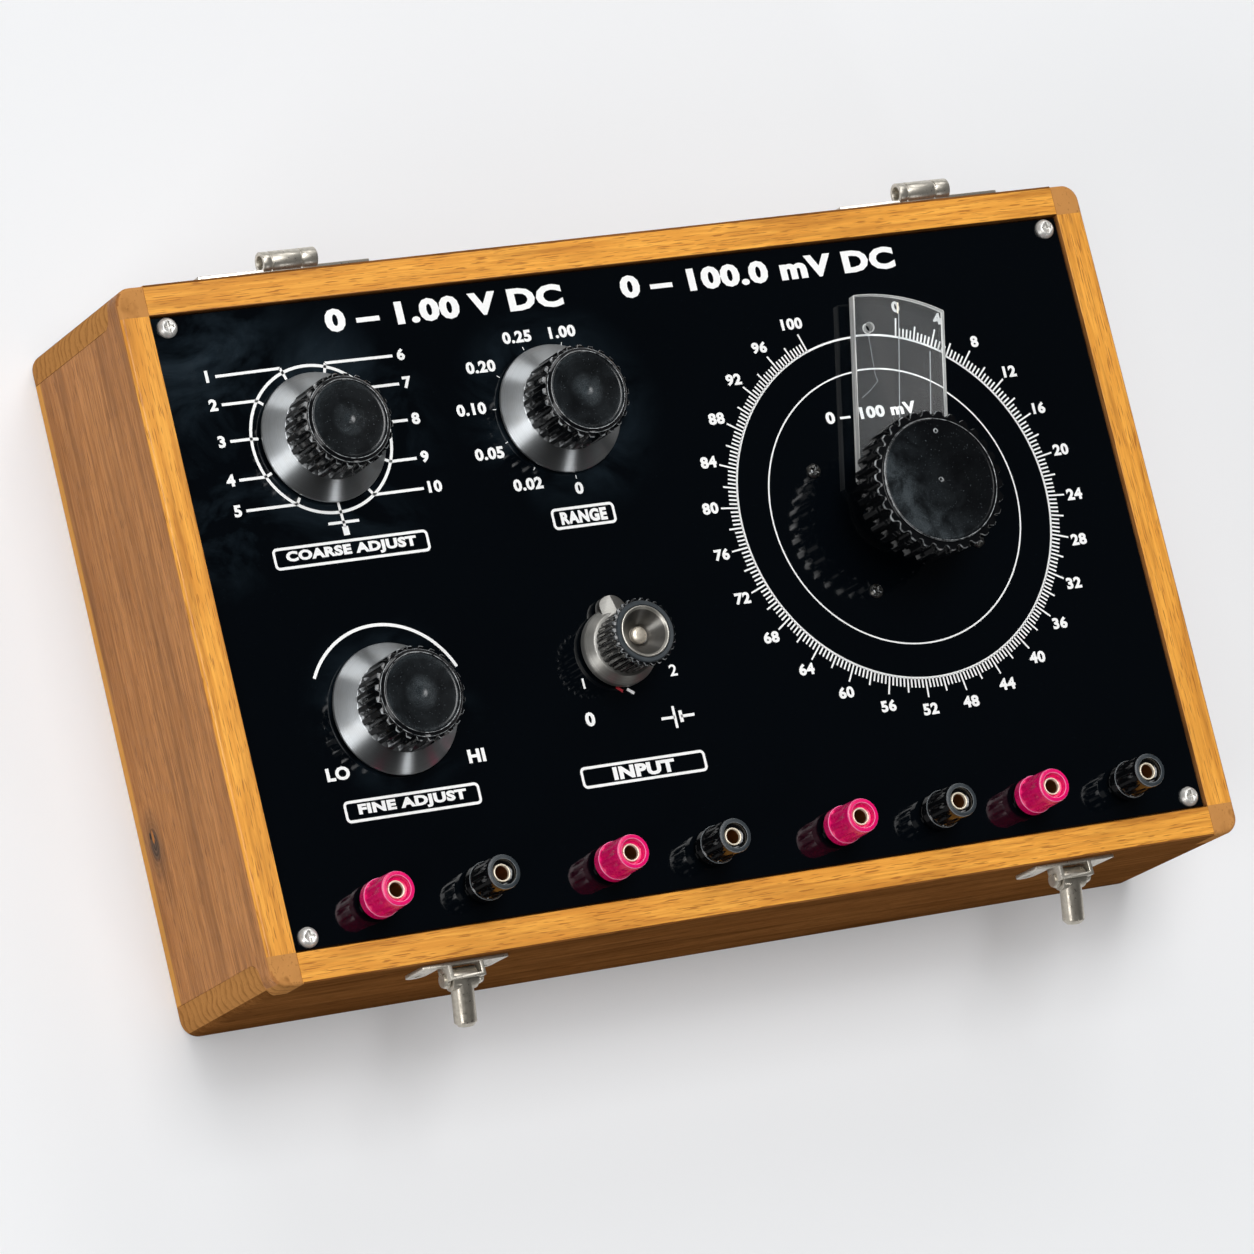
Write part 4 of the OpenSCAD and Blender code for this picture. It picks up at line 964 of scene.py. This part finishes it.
class POTENTIOMETER_OT_selector(bpy.types.Operator):
    """Makes the selector: skirt with pointer tab, ribbed grip that flares to teeth, dish with a button"""

    bl_idname = "potentiometer.selector"
    bl_label = "Selector"

    def tab(self):
        """Pointer tab: a block rounded at its tip, highest along its middle and lower towards the tip"""
        tab = bmesh.new()
        size = Matrix.Diagonal((8.4 * MM, 6.8 * MM, 5.6 * MM, 1))
        bmesh.ops.create_cube(tab, size=1, matrix=Matrix.Translation((0, 11.4 * MM, 4.0 * MM)) @ size)
        tip = [e for e in tab.edges if all(v.co.y > 14 * MM for v in e.verts)]
        bevel(tab, [e for e in tip if abs(e.verts[0].co.z - e.verts[1].co.z) > MM], 3.6, 7)
        slice_at(tab, (0, 0, 0), (1, 0, 0))
        for vert in tab.verts:
            if vert.co.z > 5 * MM:
                along, across = vert.co.y / MM - 9.0, abs(vert.co.x / MM)
                vert.co.z = (7.2 - 0.5 * max(0.0, along) - 0.42 * across) * MM
        soften(tab, 0.2, angle=14)
        return tab

    def execute(self, context):
        body = "selector_dial"
        bm = bmesh.new()
        lathe(bm, rounded([
            (11.5, 1.2, 0.2), (11.5, 3.2, 0.5), (9.5, 5.8, 0.3), (3.1, 5.8),
            (3.1, 4.4), (8.6, 4.4), (10.1, 1.2),
        ], closed=True), 128, True)
        gather(bm, self.tab())
        put(bm, SELECTOR, PANEL_Z)
        spun = spun_metal("Spun aluminium, selector", SELECTOR, "B4B2AC", 0.44, 0.6)
        piece("selector_skirt_spun", bm, [spun], body, ["selector_skirt"])
        grip = bmesh.new()
        teeth = 28
        ribs = grip_rows(teeth, ROUND_FLUTE, (
            (8.5, 0.35, 5.8),
            (8.8, 0.4, 6.2),
            (8.9, 0.4, 15.2),
            (9.4, 0.6, 16.8),
            (9.95, 0.8, 17.8),
            (9.95, 0.8, 18.4),
            (9.7, 0.65, 18.75, 1),
        ))
        rim = grip_rows(teeth, SQUARE_FLUTE, (
            (9.0, 0, 18.9),
            (8.9, 0, 19.3, 2),
            (8.7, 0, 19.48, 2),
            (7.75, 0, 19.44, 2),
            (7.6, 0, 19.2, 2),
            (7.55, 0, 13.9),
        ))
        loft(grip, ribs + rim)
        put(grip, SELECTOR, PANEL_Z)
        # The grip's upward top ring takes the same slate grey, a painted sheen.
        finishes = [shared("Black bakelite"), shared("Rubbed bakelite edge"), shared("Slate-grey bakelite")]
        piece("selector_grip", grip, finishes, body, ["selector_knob"])
        dish = bmesh.new()
        lathe(dish, rounded([
            (0, 14.0), (7.5, 14.0), (7.5, 19.45, 0.15), (7.15, 19.55, 0.15), (6.85, 19.3, 0.1), (6.5, 18.86),
        ]), 96)
        lathe(dish, rounded([(6.5, 18.86), (2.9, 14.35, 0.3), (2.55, 14.3)]), 96, material=1)
        lathe(dish, rounded([(2.55, 14.3), (2.5, 15.4, 0.45), (1.5, 15.85, 0.5), (0, 15.9)]), 96, material=2)
        put(dish, SELECTOR, PANEL_Z)
        piece("selector_dish_spun", dish, [
            spun_metal("Turned lip, selector", SELECTOR, "D2CEC4", 0.4, 0.5),
            spun_metal("Spun dish, selector", SELECTOR, "6C6964", 0.36, 0.75),
            Shelf.take("Cream nickel button", nickel, "D6CCBC", 0.36, 0.7),
        ], body, ["selector_dish"])
        return {"FINISHED"}


class POTENTIOMETER_OT_main_dial(bpy.types.Operator):
    """Makes the large fluted knob with its face, and the clear cursor with its hairlines"""

    bl_idname = "potentiometer.main_dial"
    bl_label = "Main dial"

    def execute(self, context):
        grip = bmesh.new()
        loft(grip, grip_rows(settings().knob.main_flutes, ROUND_FLUTE, (
            (10, 0, 6.4),
            (10, 0, 13.6),
            (10.4, 0, 14.0),
            (20.4, 1.4, 14.0),
            (21.0, 1.6, 14.6),
            (21.1, 1.65, 20.0),
            (21.1, 1.65, 26.5),
            (20.8, 1.45, 27.0, 1),
            (19.2, 0, 27.1),
            (18.6, 0, 27.1),
            (18.5, 0, 27.6),
            (18.42, 0, 27.9, 1),
            (18.25, 0, 27.96),
            (18.1, 0, 27.88, 1),
            (18.04, 0, 27.65),
            (18.02, 0, 27.1),
        )))
        put(grip, MAIN, PANEL_Z)
        # This light grey edge finish is partly wear and partly painted highlight; the face's dimple and mark
        # take it too.
        edge = shared("Rubbed bakelite edge")
        piece("main_grip", grip, [shared("Black bakelite"), edge], "main_dial", ["main_knob"])
        face = bmesh.new()
        lathe(face, rounded([
            (0, 27.15), (17.98, 27.15), (17.98, 27.8, 0.12), (17.5, 27.84, 0.3), (17.0, 27.74, 0.3),
            (1.0, 27.7, 0.3), (0.5, 27.5, 0.2), (0, 27.45),
        ]), 128)
        lathe(face, [(0.45, 27.6), (0.75, 27.78), (0.45, 27.78)], 24, True, 1)
        put(face, MAIN, PANEL_Z)
        mark = bmesh.new()
        lathe(mark, [(0.35, 27.6), (0.75, 27.8), (0.4, 27.8)], 24, True, 1)
        put(mark, (MAIN[0] + 2.2, MAIN[1] + 14.4), PANEL_Z)
        gather(face, mark)
        finish = matt_face("Rubbed black face, main", MAIN, colour("050608"), 18.0, True)
        piece("main_face_disc", face, [finish, edge], "main_dial", ["main_face"])
        self.cursor()
        return {"FINISHED"}

    def cursor(self):
        """Clear plate, drawn in at its hub, with its drilled hole, hairlines and a scratch"""
        plate = cad_copy("cursor")
        rest = math.radians(-15)  # the turn of the dial at rest
        square_on = Matrix.Rotation(-rest, 4, "Z") @ Matrix.Translation((-MAIN[0] * MM, -MAIN[1] * MM, 0))
        bmesh.ops.transform(plate, matrix=square_on, verts=plate.verts)
        neck = 4  # the arm starts this far from the shaft, and the hub ends
        bore = 10  # the hole round the shaft is within this radius and stays
        arm, lean, hub = 0.94, 0.03, 0.75  # width of the arm, its lean to the left, and size of the hub
        hole, left, down = (-8, 53), 3.8, 1.6  # the drilled hole, and how far it moves
        slice_at(plate, (0, neck, 0), (0, 1, 0))
        for vert in plate.verts:
            x, y = vert.co.x / MM, vert.co.y / MM
            if y > neck - 0.5 and math.hypot(x, y) > bore:
                drilled = math.hypot(x - hole[0], y - hole[1]) < 2
                vert.co.x = (x * arm - (left if drilled else lean * (y - neck))) * MM
                vert.co.y = (y - (down if drilled else 0)) * MM
            elif math.hypot(x, y) > bore:
                vert.co.x, vert.co.y = hub * x * MM, hub * y * MM
        soften(plate, 0.3, angle=40)
        bmesh.ops.recalc_face_normals(plate, faces=plate.faces)
        for wall in plate.faces:
            on_arm = wall.calc_center_median().y > (neck + 2) * MM
            wall.material_index = int(abs(wall.normal.z) < 0.95 and on_arm)
        put(plate, MAIN, 0, rest)
        finishes = [Shelf.take("Clear acrylic", acrylic), Shelf.take("Filed acrylic edge", acrylic_edge)]
        piece("cursor_plate", plate, finishes, "main_dial", ["cursor"], 15)
        top = (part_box("cursor")[1].z / MM) - PANEL_Z
        scratch = [(-11.8, 48.5), (-9.7, 36.8), (-8.9, 35.1), (-11.2, 32.0), (-14.1, 29.1)]
        grey = [((-1.8, 25), (-1.8, 57), 0.26), ((8.5, 25), (8.5, 47), 0.3)]
        grey += [(a, b, 0.1) for a, b in zip(scratch, scratch[1:])]
        cream = [((-2.1, 57.0), (-2.1, 60.4), 0.5)]
        for name, strokes, tone in (("hairlines", grey, "AEB4B7"), ("index_mark", cream, "F4ECD8")):
            lines = bmesh.new()
            for start, end, width in strokes:
                bar(lines, start, end, width, top + 0.01, 0.03)
            put(lines, MAIN, 0, rest)
            label = "Filling of the cursor's " + name.replace("_", " ")
            finish = Shelf.take(label, moulded, colour(tone), 0.5)
            piece("cursor_" + name, lines, [finish], "main_dial")


class POTENTIOMETER_OT_posts(bpy.types.Operator):
    """Makes the eight binding posts: collars, brass tubes and fluted caps"""

    bl_idname = "potentiometer.posts"
    bl_label = "Binding posts"

    def execute(self, context):
        post = settings().post
        collars = bmesh.new()
        tubes = bmesh.new()
        for at in CAPS:
            collar = bmesh.new()
            ring = [(2.1, 0), (4.7, 0, 0.2), (4.7, 2.0, 0.25), (2.1, 2.0)]
            lathe(collar, rounded(ring, closed=True), 48, True)
            put(collar, at, PANEL_Z)
            gather(collars, collar)
            tube = bmesh.new()
            lathe(tube, rounded([
                (2.1, 13.6), (2.1, 14.6, 0.25), (2.6, 14.6, 0.25), (2.6, 2.0),
                (1.95, 2.0), (1.95, -15, 0.3), (0, -15),
            ], 4), 48)
            lathe(tube, [(0, 2.8), (2.1, 2.8), (2.1, 13.6)], 48, material=1)
            put(tube, at, PANEL_Z)
            gather(tubes, tube)
        # The black caps' top faces take a slate grey that is a painted sheen.
        black, sheen_grey = shared("Black bakelite"), shared("Slate-grey bakelite")
        piece("post_collars_moulded", collars, [black], "case", ["post_collars"])
        lip = Shelf.take("Tinned brass lip", brass, "FFF3DC", 0.4, 0.35)
        bore = Shelf.take("Dull brass bore", brass, "8A5426", 0.4, 0.6)
        piece("post_tubes", tubes, [lip, bore], "case", ["post_studs"])
        bright = Shelf.take("Magenta plastic", moulded, tuple(post.bright), 0.26, 0.2)
        # The lighter pink and grey rings on the caps' rounded edges are painted highlights.
        magenta_highlight = Shelf.take("Rubbed magenta edge", moulded, colour("F48AB4"), 0.3)
        black_cap_highlight = Shelf.take("Rubbed black edge", moulded, colour("666B6E"), 0.3)
        rows = grip_rows(post.flutes, HOLLOW_FLUTE, (
            (5.35, 0, 2.05),
            (5.6, 0, 2.35),
            (5.6, 0, 5.0),
            (5.45, 0, 5.2, 1),
            (5.3, 0, 5.3),
            (5.22, 0.3, 5.5),
            (5.2, 0.55, 6.0),
            (5.1, 0.5, 12.3),
            (5.08, 0.2, 12.9),
            (5.05, 0, 13.1),
            (5.0, 0, 15.3),
            (4.93, 0, 15.7),
            (4.8, 0, 15.92, 1),
            (4.6, 0, 16.0, 2),
            (3.85, 0, 16.0, 2),
            (3.7, 0, 15.9, 1),
            (3.6, 0, 15.6),
            (3.3, 0, 14.2),
            (3.1, 0, 14.1),
            (2.7, 0, 14.0),
            (2.7, 0, 2.05),
        ))
        for k, at in enumerate(CAPS):
            cap = bmesh.new()
            loft(cap, rows, cap=False)
            put(cap, at, PANEL_Z, 0.3 * k)  # no two caps stand at the same turn
            name = "post_cap_%d" % (k + 1)
            if k % 2 == 0:
                finishes, slot = [bright, magenta_highlight, bright], "magenta"
            else:
                finishes, slot = [black, black_cap_highlight, sheen_grey], "gloss_black"
            piece(name + "_moulded", cap, finishes, name, [name])
        return {"FINISHED"}


# Markings

SUNK = 0.05  # how far the paint goes into the panel


def raise_paint(bm, part, at, lift):
    """Gives flat paint its thickness and adds it to the marks."""
    grown = bmesh.ops.extrude_face_region(part, geom=part.faces[:], use_keep_orig=True)["geom"]
    fresh = [g for g in grown if isinstance(g, bmesh.types.BMVert)]
    bmesh.ops.translate(part, vec=(0, 0, (lift + SUNK) * MM), verts=fresh)
    put(part, at, PANEL_Z - SUNK)
    gather(bm, part)


def bar(bm, a, b, width, lift, thick=0.08):
    """Painted straight line between two points of the panel; lift is its top above the panel."""
    a, b = Vector(a), Vector(b)
    run = b - a
    place = (
        Matrix.Translation(((a.x + b.x) / 2 * MM, (a.y + b.y) / 2 * MM, (PANEL_Z + lift - thick / 2) * MM))
        @ Matrix.Rotation(math.atan2(run.y, run.x), 4, "Z")
        @ Matrix.Diagonal((run.length * MM, width * MM, thick * MM, 1))
    )
    bmesh.ops.create_cube(bm, size=1, matrix=place)


def arc(bm, at, radius, width, lift, start=0.0, sweep=360.0, steps=160):
    """Painted ring or arc; angles run anticlockwise from +X, in degrees."""
    part = bmesh.new()
    half = width / 2
    profile = [(radius - half, -SUNK), (radius + half, -SUNK), (radius + half, lift), (radius - half, lift)]
    lathe(part, profile, steps, True, angle=math.radians(sweep))
    if sweep < 360:
        bmesh.ops.holes_fill(part, edges=part.edges)
    put(part, at, PANEL_Z, math.radians(start))
    gather(bm, part)


def halfway(low, high):
    """Middle of a box on the panel."""
    return (low[0] + high[0]) / 2, (low[1] + high[1]) / 2


def frame_box(bm, low, high, width, radius, lift):
    """Painted outline of a rounded box."""
    part = bmesh.new()
    bmesh.ops.create_grid(part, x_segments=1, y_segments=1, size=0.5 * MM)
    bmesh.ops.scale(part, vec=(high[0] - low[0], high[1] - low[1], 1), verts=part.verts)
    bevel(part, part.verts[:], radius, 5, "VERTICES")
    inner = part.faces[:]
    bmesh.ops.inset_region(part, faces=inner, thickness=width * MM, use_even_offset=True, use_boundary=True)
    bmesh.ops.delete(part, geom=inner, context="FACES")
    raise_paint(bm, part, halfway(low, high), lift)


def words(bm, text, at, cap, lift, width=0.0, bold=0.045):
    """Painted figures or words; cap is their height, at is their middle, and width is their full length."""
    curve = bpy.data.curves.new("words", "FONT")
    curve.body = text
    curve.size = 1
    curve.offset = bold
    curve.resolution_u = 3
    curve.space_character = 1.08
    holder = bpy.data.objects.new("words", curve)
    bpy.context.scene.collection.objects.link(holder)
    graph = bpy.context.evaluated_depsgraph_get()
    mesh = bpy.data.meshes.new_from_object(holder.evaluated_get(graph))
    bpy.data.objects.remove(holder)
    bpy.data.curves.remove(curve)
    part = bmesh.new()
    part.from_mesh(mesh)
    bpy.data.meshes.remove(mesh)
    bmesh.ops.remove_doubles(part, verts=part.verts, dist=1e-5)
    xs = [v.co.x for v in part.verts]
    ys = [v.co.y for v in part.verts]
    size = cap / (max(ys) - min(ys))
    across = width / (max(xs) - min(xs)) if width else size * 1.12  # a little wider than the typeface
    bmesh.ops.translate(part, vec=(-(min(xs) + max(xs)) / 2, -(min(ys) + max(ys)) / 2, 0), verts=part.verts)
    bmesh.ops.scale(part, vec=(across * MM, size * MM, 1), verts=part.verts)
    raise_paint(bm, part, at, lift)


def clock(at, radius, degrees):
    """Point at an angle clockwise from the rear."""
    angle = math.radians(degrees)
    return at[0] + radius * math.sin(angle), at[1] + radius * math.cos(angle)


class POTENTIOMETER_OT_markings(bpy.types.Operator):
    """Paints the rings, scales, leaders, boxes and figures on the panel"""

    bl_idname = "potentiometer.markings"
    bl_label = "Markings"

    def coarse(self, bm, line, lift):
        """Ring with ten leaders, each bent at the ring towards the knob, and the arrow below it"""
        ring, skirt = 21.5, 19.3
        arc(bm, COARSE, ring, line + 0.05, lift)
        centre = Vector(COARSE)
        for k, y in enumerate((72.5, 64.2, 53.5, 42.2, 33.3)):
            for side, x, elbow_x in ((-1, -133.8, -113.6), (1, -78.0, -99.4)):
                reach = math.sqrt(max(ring ** 2 - (y - centre.y) ** 2, 0.0))
                bend = Vector((centre.x + side * reach, y)) if reach > 8 else Vector((elbow_x, y + 0.2))
                inward = (centre - bend).normalized()
                bar(bm, (x, y), bend, line, lift)
                bar(bm, bend, bend + inward * ((bend - centre).length - skirt), line, lift)
                figure = k + 1 if side < 0 else k + 6
                apart = 2.6 if figure < 10 else 3.6
                words(bm, str(figure), (x + side * apart, y + 0.2), 3.5, lift)
        bar(bm, (-105.4, 32.4), (-105.0, 25.1), line, lift)
        bar(bm, (-109.9, 26.6), (-100.2, 26.6), line, lift)
        bar(bm, (-105.0, 25.4), (-104.9, 22.8), 1.9, lift)

    def volts(self, bm, lift):
        """Seven ranges round the volts knob, each with a fine tick at the skirt"""
        places = (
            ("1.00", -22.9, 73.8), ("0.25", -37.7, 73.8), ("0.20", -51.3, 66.3), ("0.10", -57.4, 54.3),
            ("0.05", -55.0, 40.9), ("0.02", -45.2, 30.7), ("0", -29.4, 27.7),
        )
        for text, x, y in places:
            words(bm, text, (x, y), 3.6, lift)
            away = Vector((x, y)) - Vector(VOLTS)
            angle = math.degrees(math.atan2(away.x, away.y))
            bar(bm, clock(VOLTS, 19.6, angle), clock(VOLTS, 20.6, angle), 0.22, lift)

    def main(self, bm, lift):
        """Two rings, and a scale of 250 steps over the travel of the dial, with a figure at every tenth"""
        inner, outer, figures = 41.4, 51.7, 61.0
        steps, travel, start = 250, 326.5, 14.9
        arc(bm, MAIN, inner, 0.45, lift, steps=200)
        arc(bm, MAIN, outer, 0.6, lift, steps=240)
        for k in range(steps + 1):
            tip = 57.5 if k % 10 == 0 else 56.2 if k % 5 == 0 else 54.6
            angle = start + k * (travel / steps)
            bar(bm, clock(MAIN, outer, angle), clock(MAIN, tip, angle), 0.5, lift)
            if k % 10 == 0:
                words(bm, str(k // 10 * 4), clock(MAIN, figures, angle), 3.5, lift)
        words(bm, "0 – 100 mV", (70.6, 38.8), 3.7, lift, 30.0)

    def cell(self, bm, at, line, lift):
        """Symbol of a battery cell"""
        x, y = at
        bar(bm, (x - 5.4, y), (x - 1.0, y), line, lift)
        bar(bm, (x - 1.0, y - 3.2), (x - 1.0, y + 3.2), line, lift)
        bar(bm, (x + 1.0, y - 1.7), (x + 1.0, y + 1.7), 1.1, lift)
        bar(bm, (x + 1.0, y), (x + 5.4, y), line, lift)

    def execute(self, context):
        mark = settings().mark
        line, lift = mark.line / MM, mark.lift / MM
        paint = [Shelf.take("White paint", white_paint)]
        bm = bmesh.new()
        self.coarse(bm, line, lift)
        self.volts(bm, lift)
        arc(bm, LINE, 24.7, line + 0.1, lift, 23.5, 127.5, 80)
        for low, high, text, width in (
            ((-129.0, 15.2), (-80.1, 21.6), "COARSE ADJUST", 41.0),
            ((-40.3, 16.3), (-19.8, 22.6), "RANGE", 15.0),
            ((-125.3, -58.2), (-82.7, -51.9), "FINE ADJUST", 34.0),
            ((-50.5, -58.6), (-10.0, -52.3), "INPUT", 20.0),
        ):
            frame_box(bm, low, high, 0.8, 1.5, lift)
            words(bm, text, halfway(low, high), 3.8, lift, width, 0.055)
        words(bm, "0 – 1.00 V DC     0 – 100.0 mV DC", (-2.4, 84.7), 6.9, lift, 188.0, 0.05)
        words(bm, "1", (-42.8, -28.6), 3.0, lift, 0.0, 0.02)
        words(bm, "2", (-13.6, -28.4), 3.4, lift, 0.0, 0.02)
        words(bm, "0", (-43.4, -39.0), 4.2, lift)
        words(bm, "LO", (-124.6, -43.9), 3.9, lift)
        words(bm, "HI", (-81.2, -44.5), 3.9, lift)
        self.cell(bm, (-15.6, -41.9), line, lift)
        bar(bm, (-29.6, -31.9), (-27.6, -33.4), 0.9, lift)
        piece("panel_marks_left", bm, paint, "case")
        bm = bmesh.new()
        bar(bm, (-32.9, -30.9), (-31.0, -32.4), 0.8, lift)
        piece("panel_mark_red", bm, [Shelf.take("Red paint", moulded, colour("A8202C"), 0.5)], "case")
        bm = bmesh.new()
        self.main(bm, lift)
        piece("panel_marks_main", bm, paint, "case")
        return {"FINISHED"}


class POTENTIOMETER_OT_inner_parts(bpy.types.Operator):
    """Gives the parts inside the case their finishes"""

    bl_idname = "potentiometer.inner_parts"
    bl_label = "Inner parts"

    def execute(self, context):
        finishes = {
            "base_board": Shelf.take("Birch plywood", plywood),
            "panel_battens": wood("Planed batten wood", colour("C08A4C"), TEAK, "X", 5.0, 0.0),
            "slide_wire_former": Shelf.take("Dark slate", slate),
        }
        groups = {
            "Copper winding": "line_winding slide_wire resistor_bobbins",
            "Turned brass": "shaft_bushings post_nuts",
            "Brown laminate": "coarse_switch_deck volts_switch_deck selector_switch_deck",
            "Nickel plate": "base_screws hinge_screws catch_pins catch_screws bushing_nuts"
            " coarse_shaft volts_shaft line_shaft selector_shaft main_shaft",
        }
        for kind, names in groups.items():
            finishes.update((name, shared(kind)) for name in names.split())
        for name, finish in finishes.items():
            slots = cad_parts[name].data.materials
            slots.clear()
            slots.append(finish)
        return {"FINISHED"}


class POTENTIOMETER_OT_stage(bpy.types.Operator):
    """Sets the pale floor, the soft lamps, the dim studio and the camera"""

    bl_idname = "potentiometer.stage"
    bl_label = "Stage"

    def lamp(self, name, place, size, power):
        """Soft lamp that faces the middle of the case; place and size are in metres"""
        aim = Vector((0, 0, 0.03))
        data = bpy.data.lights.new(name, "AREA")
        data.shape = "RECTANGLE"
        data.size, data.size_y = size
        data.energy = power
        made = bpy.data.objects.new(name, data)
        made.location = place
        made.rotation_euler = (aim - Vector(place)).to_track_quat("-Z", "Y").to_euler()
        bpy.context.scene.collection.objects.link(made)

    def floor(self, stage):
        """Floor that takes the shadow, and shows a little brighter than the lamps make it"""
        bm = bmesh.new()
        bmesh.ops.create_grid(bm, x_segments=8, y_segments=8, size=6)
        mesh = bpy.data.meshes.new("floor")
        bm.to_mesh(mesh)
        bm.free()
        floor, tree, shader = material("Matt white floor", tuple(stage.floor), 0.7, IOR=1.3)
        mesh.materials.append(floor)
        rays = add(tree, "LightPath").outputs
        seen = maths(tree, "MAXIMUM", rays["Is Camera Ray"], rays["Is Glossy Ray"])
        seen = maths(tree, "MAXIMUM", seen, rays["Is Transmission Ray"])
        shader.inputs["Emission Color"].default_value = (0.98, 0.99, 1.0, 1.0)
        link(tree, maths(tree, "MULTIPLY", seen, stage.glow), shader, "Emission Strength")
        made = bpy.data.objects.new("floor", mesh)
        bpy.context.scene.collection.objects.link(made)

    def studio(self, stage):
        """Pale walls, darker overhead and in front, for the metal and the panel to mirror"""
        world = bpy.data.worlds.new("Studio")
        bpy.context.scene.world = world
        world.use_nodes = True
        tree = world.node_tree
        background = tree.nodes["Background"]
        _, depth, height = add(tree, "SeparateXYZ", {0: add(tree, "TexCoord").outputs["Generated"]}).outputs
        wall = ramp(tree, height, [(0.0, 1.0), (0.35, 0.7), (0.6, 0.08), (1.0, 0.04)], "EASE")
        depth = maths(tree, "ADD", maths(tree, "MULTIPLY", depth, 0.5), 0.5)
        behind = ramp(tree, depth, [(0.1, 0.35), (0.5, 1.0)])
        tree.links.new(blend(tree, 1.0, wall, behind, "MULTIPLY"), background.inputs["Color"])
        background.inputs["Strength"].default_value = stage.walls

    def camera(self):
        """Camera at the photograph's angle; its rows point right, up and back"""
        data = bpy.data.cameras.new("camera")
        data.sensor_width = 36
        data.lens = 204.8
        data.clip_end = 50
        camera = bpy.data.objects.new("camera", data)
        right = Vector((0.8688431, -0.2308426, 0.4379765))
        up = Vector((0.1216216, 0.9570547, 0.2631623))
        back = Vector((-0.4799165, -0.1753793, 0.8596058))
        turn = Matrix((right, up, back)).transposed().to_4x4()
        camera.matrix_world = Matrix.Translation((-0.9958, -0.3690, 1.8019)) @ turn
        bpy.context.scene.collection.objects.link(camera)
        bpy.context.scene.camera = camera

    def execute(self, context):
        stage = settings().stage
        self.floor(stage)
        self.studio(stage)
        self.lamp("overhead", (-0.7, 0.4, 4.4), (1.9, 1.9), stage.top)
        self.lamp("rear, high", (0.2, 1.6, 4.15), (1.8, 1.6), stage.rear)
        self.lamp("rear right", (1.9, 3.3, 2.6), (1.6, 1.4), stage.key)
        self.lamp("behind, low", (-0.8, 3.9, 2.2), (2.0, 1.2), stage.back)
        self.lamp("front left, high", (-2.47, -0.9, 3.6), (1.6, 1.2), stage.front)
        self.lamp("left", (-3.8, -1.6, 1.8), (1.8, 1.2), stage.side)
        self.lamp("front, low", (1.5, -3.6, 2.1), (0.6, 0.8), stage.low)
        self.camera()
        context.scene.view_settings.view_transform = "Standard"
        return {"FINISHED"}


class POTENTIOMETER_PT_sidebar(bpy.types.Panel):
    """Settings and steps of the potentiometer"""

    bl_label = "Potentiometer"
    bl_space_type = "VIEW_3D"
    bl_region_type = "UI"
    bl_category = "Potentiometer"

    def draw(self, context):
        groups = context.scene.potentiometer
        for group in (groups.case, groups.panel, groups.knob, groups.post, groups.mark, groups.stage):
            box = self.layout.box()
            for name in group.__annotations__:
                box.prop(group, name)
        for step in STEPS:
            self.layout.operator(step.bl_idname)


STEPS = (
    POTENTIOMETER_OT_boards,
    POTENTIOMETER_OT_panel,
    POTENTIOMETER_OT_fittings,
    POTENTIOMETER_OT_skirted_knobs,
    POTENTIOMETER_OT_selector,
    POTENTIOMETER_OT_main_dial,
    POTENTIOMETER_OT_posts,
    POTENTIOMETER_OT_markings,
    POTENTIOMETER_OT_inner_parts,
    POTENTIOMETER_OT_stage,
)
GROUPS = (
    CaseSettings, PanelSettings, KnobSettings, PostSettings, MarkSettings, StageSettings,
    PotentiometerSettings,
)
CLASSES = GROUPS + STEPS + (POTENTIOMETER_PT_sidebar,)


def register():
    for kind in CLASSES:
        bpy.utils.register_class(kind)
    bpy.types.Scene.potentiometer = PointerProperty(type=PotentiometerSettings)


def unregister():
    del bpy.types.Scene.potentiometer
    for kind in reversed(CLASSES):
        bpy.utils.unregister_class(kind)


def main():
    register()
    ops = bpy.ops.potentiometer
    ops.boards()
    ops.panel()
    ops.fittings()
    ops.skirted_knobs()
    ops.selector()
    ops.main_dial()
    ops.posts()
    ops.markings()
    ops.inner_parts()
    ops.stage()


if __name__ == "__main__":
    main()
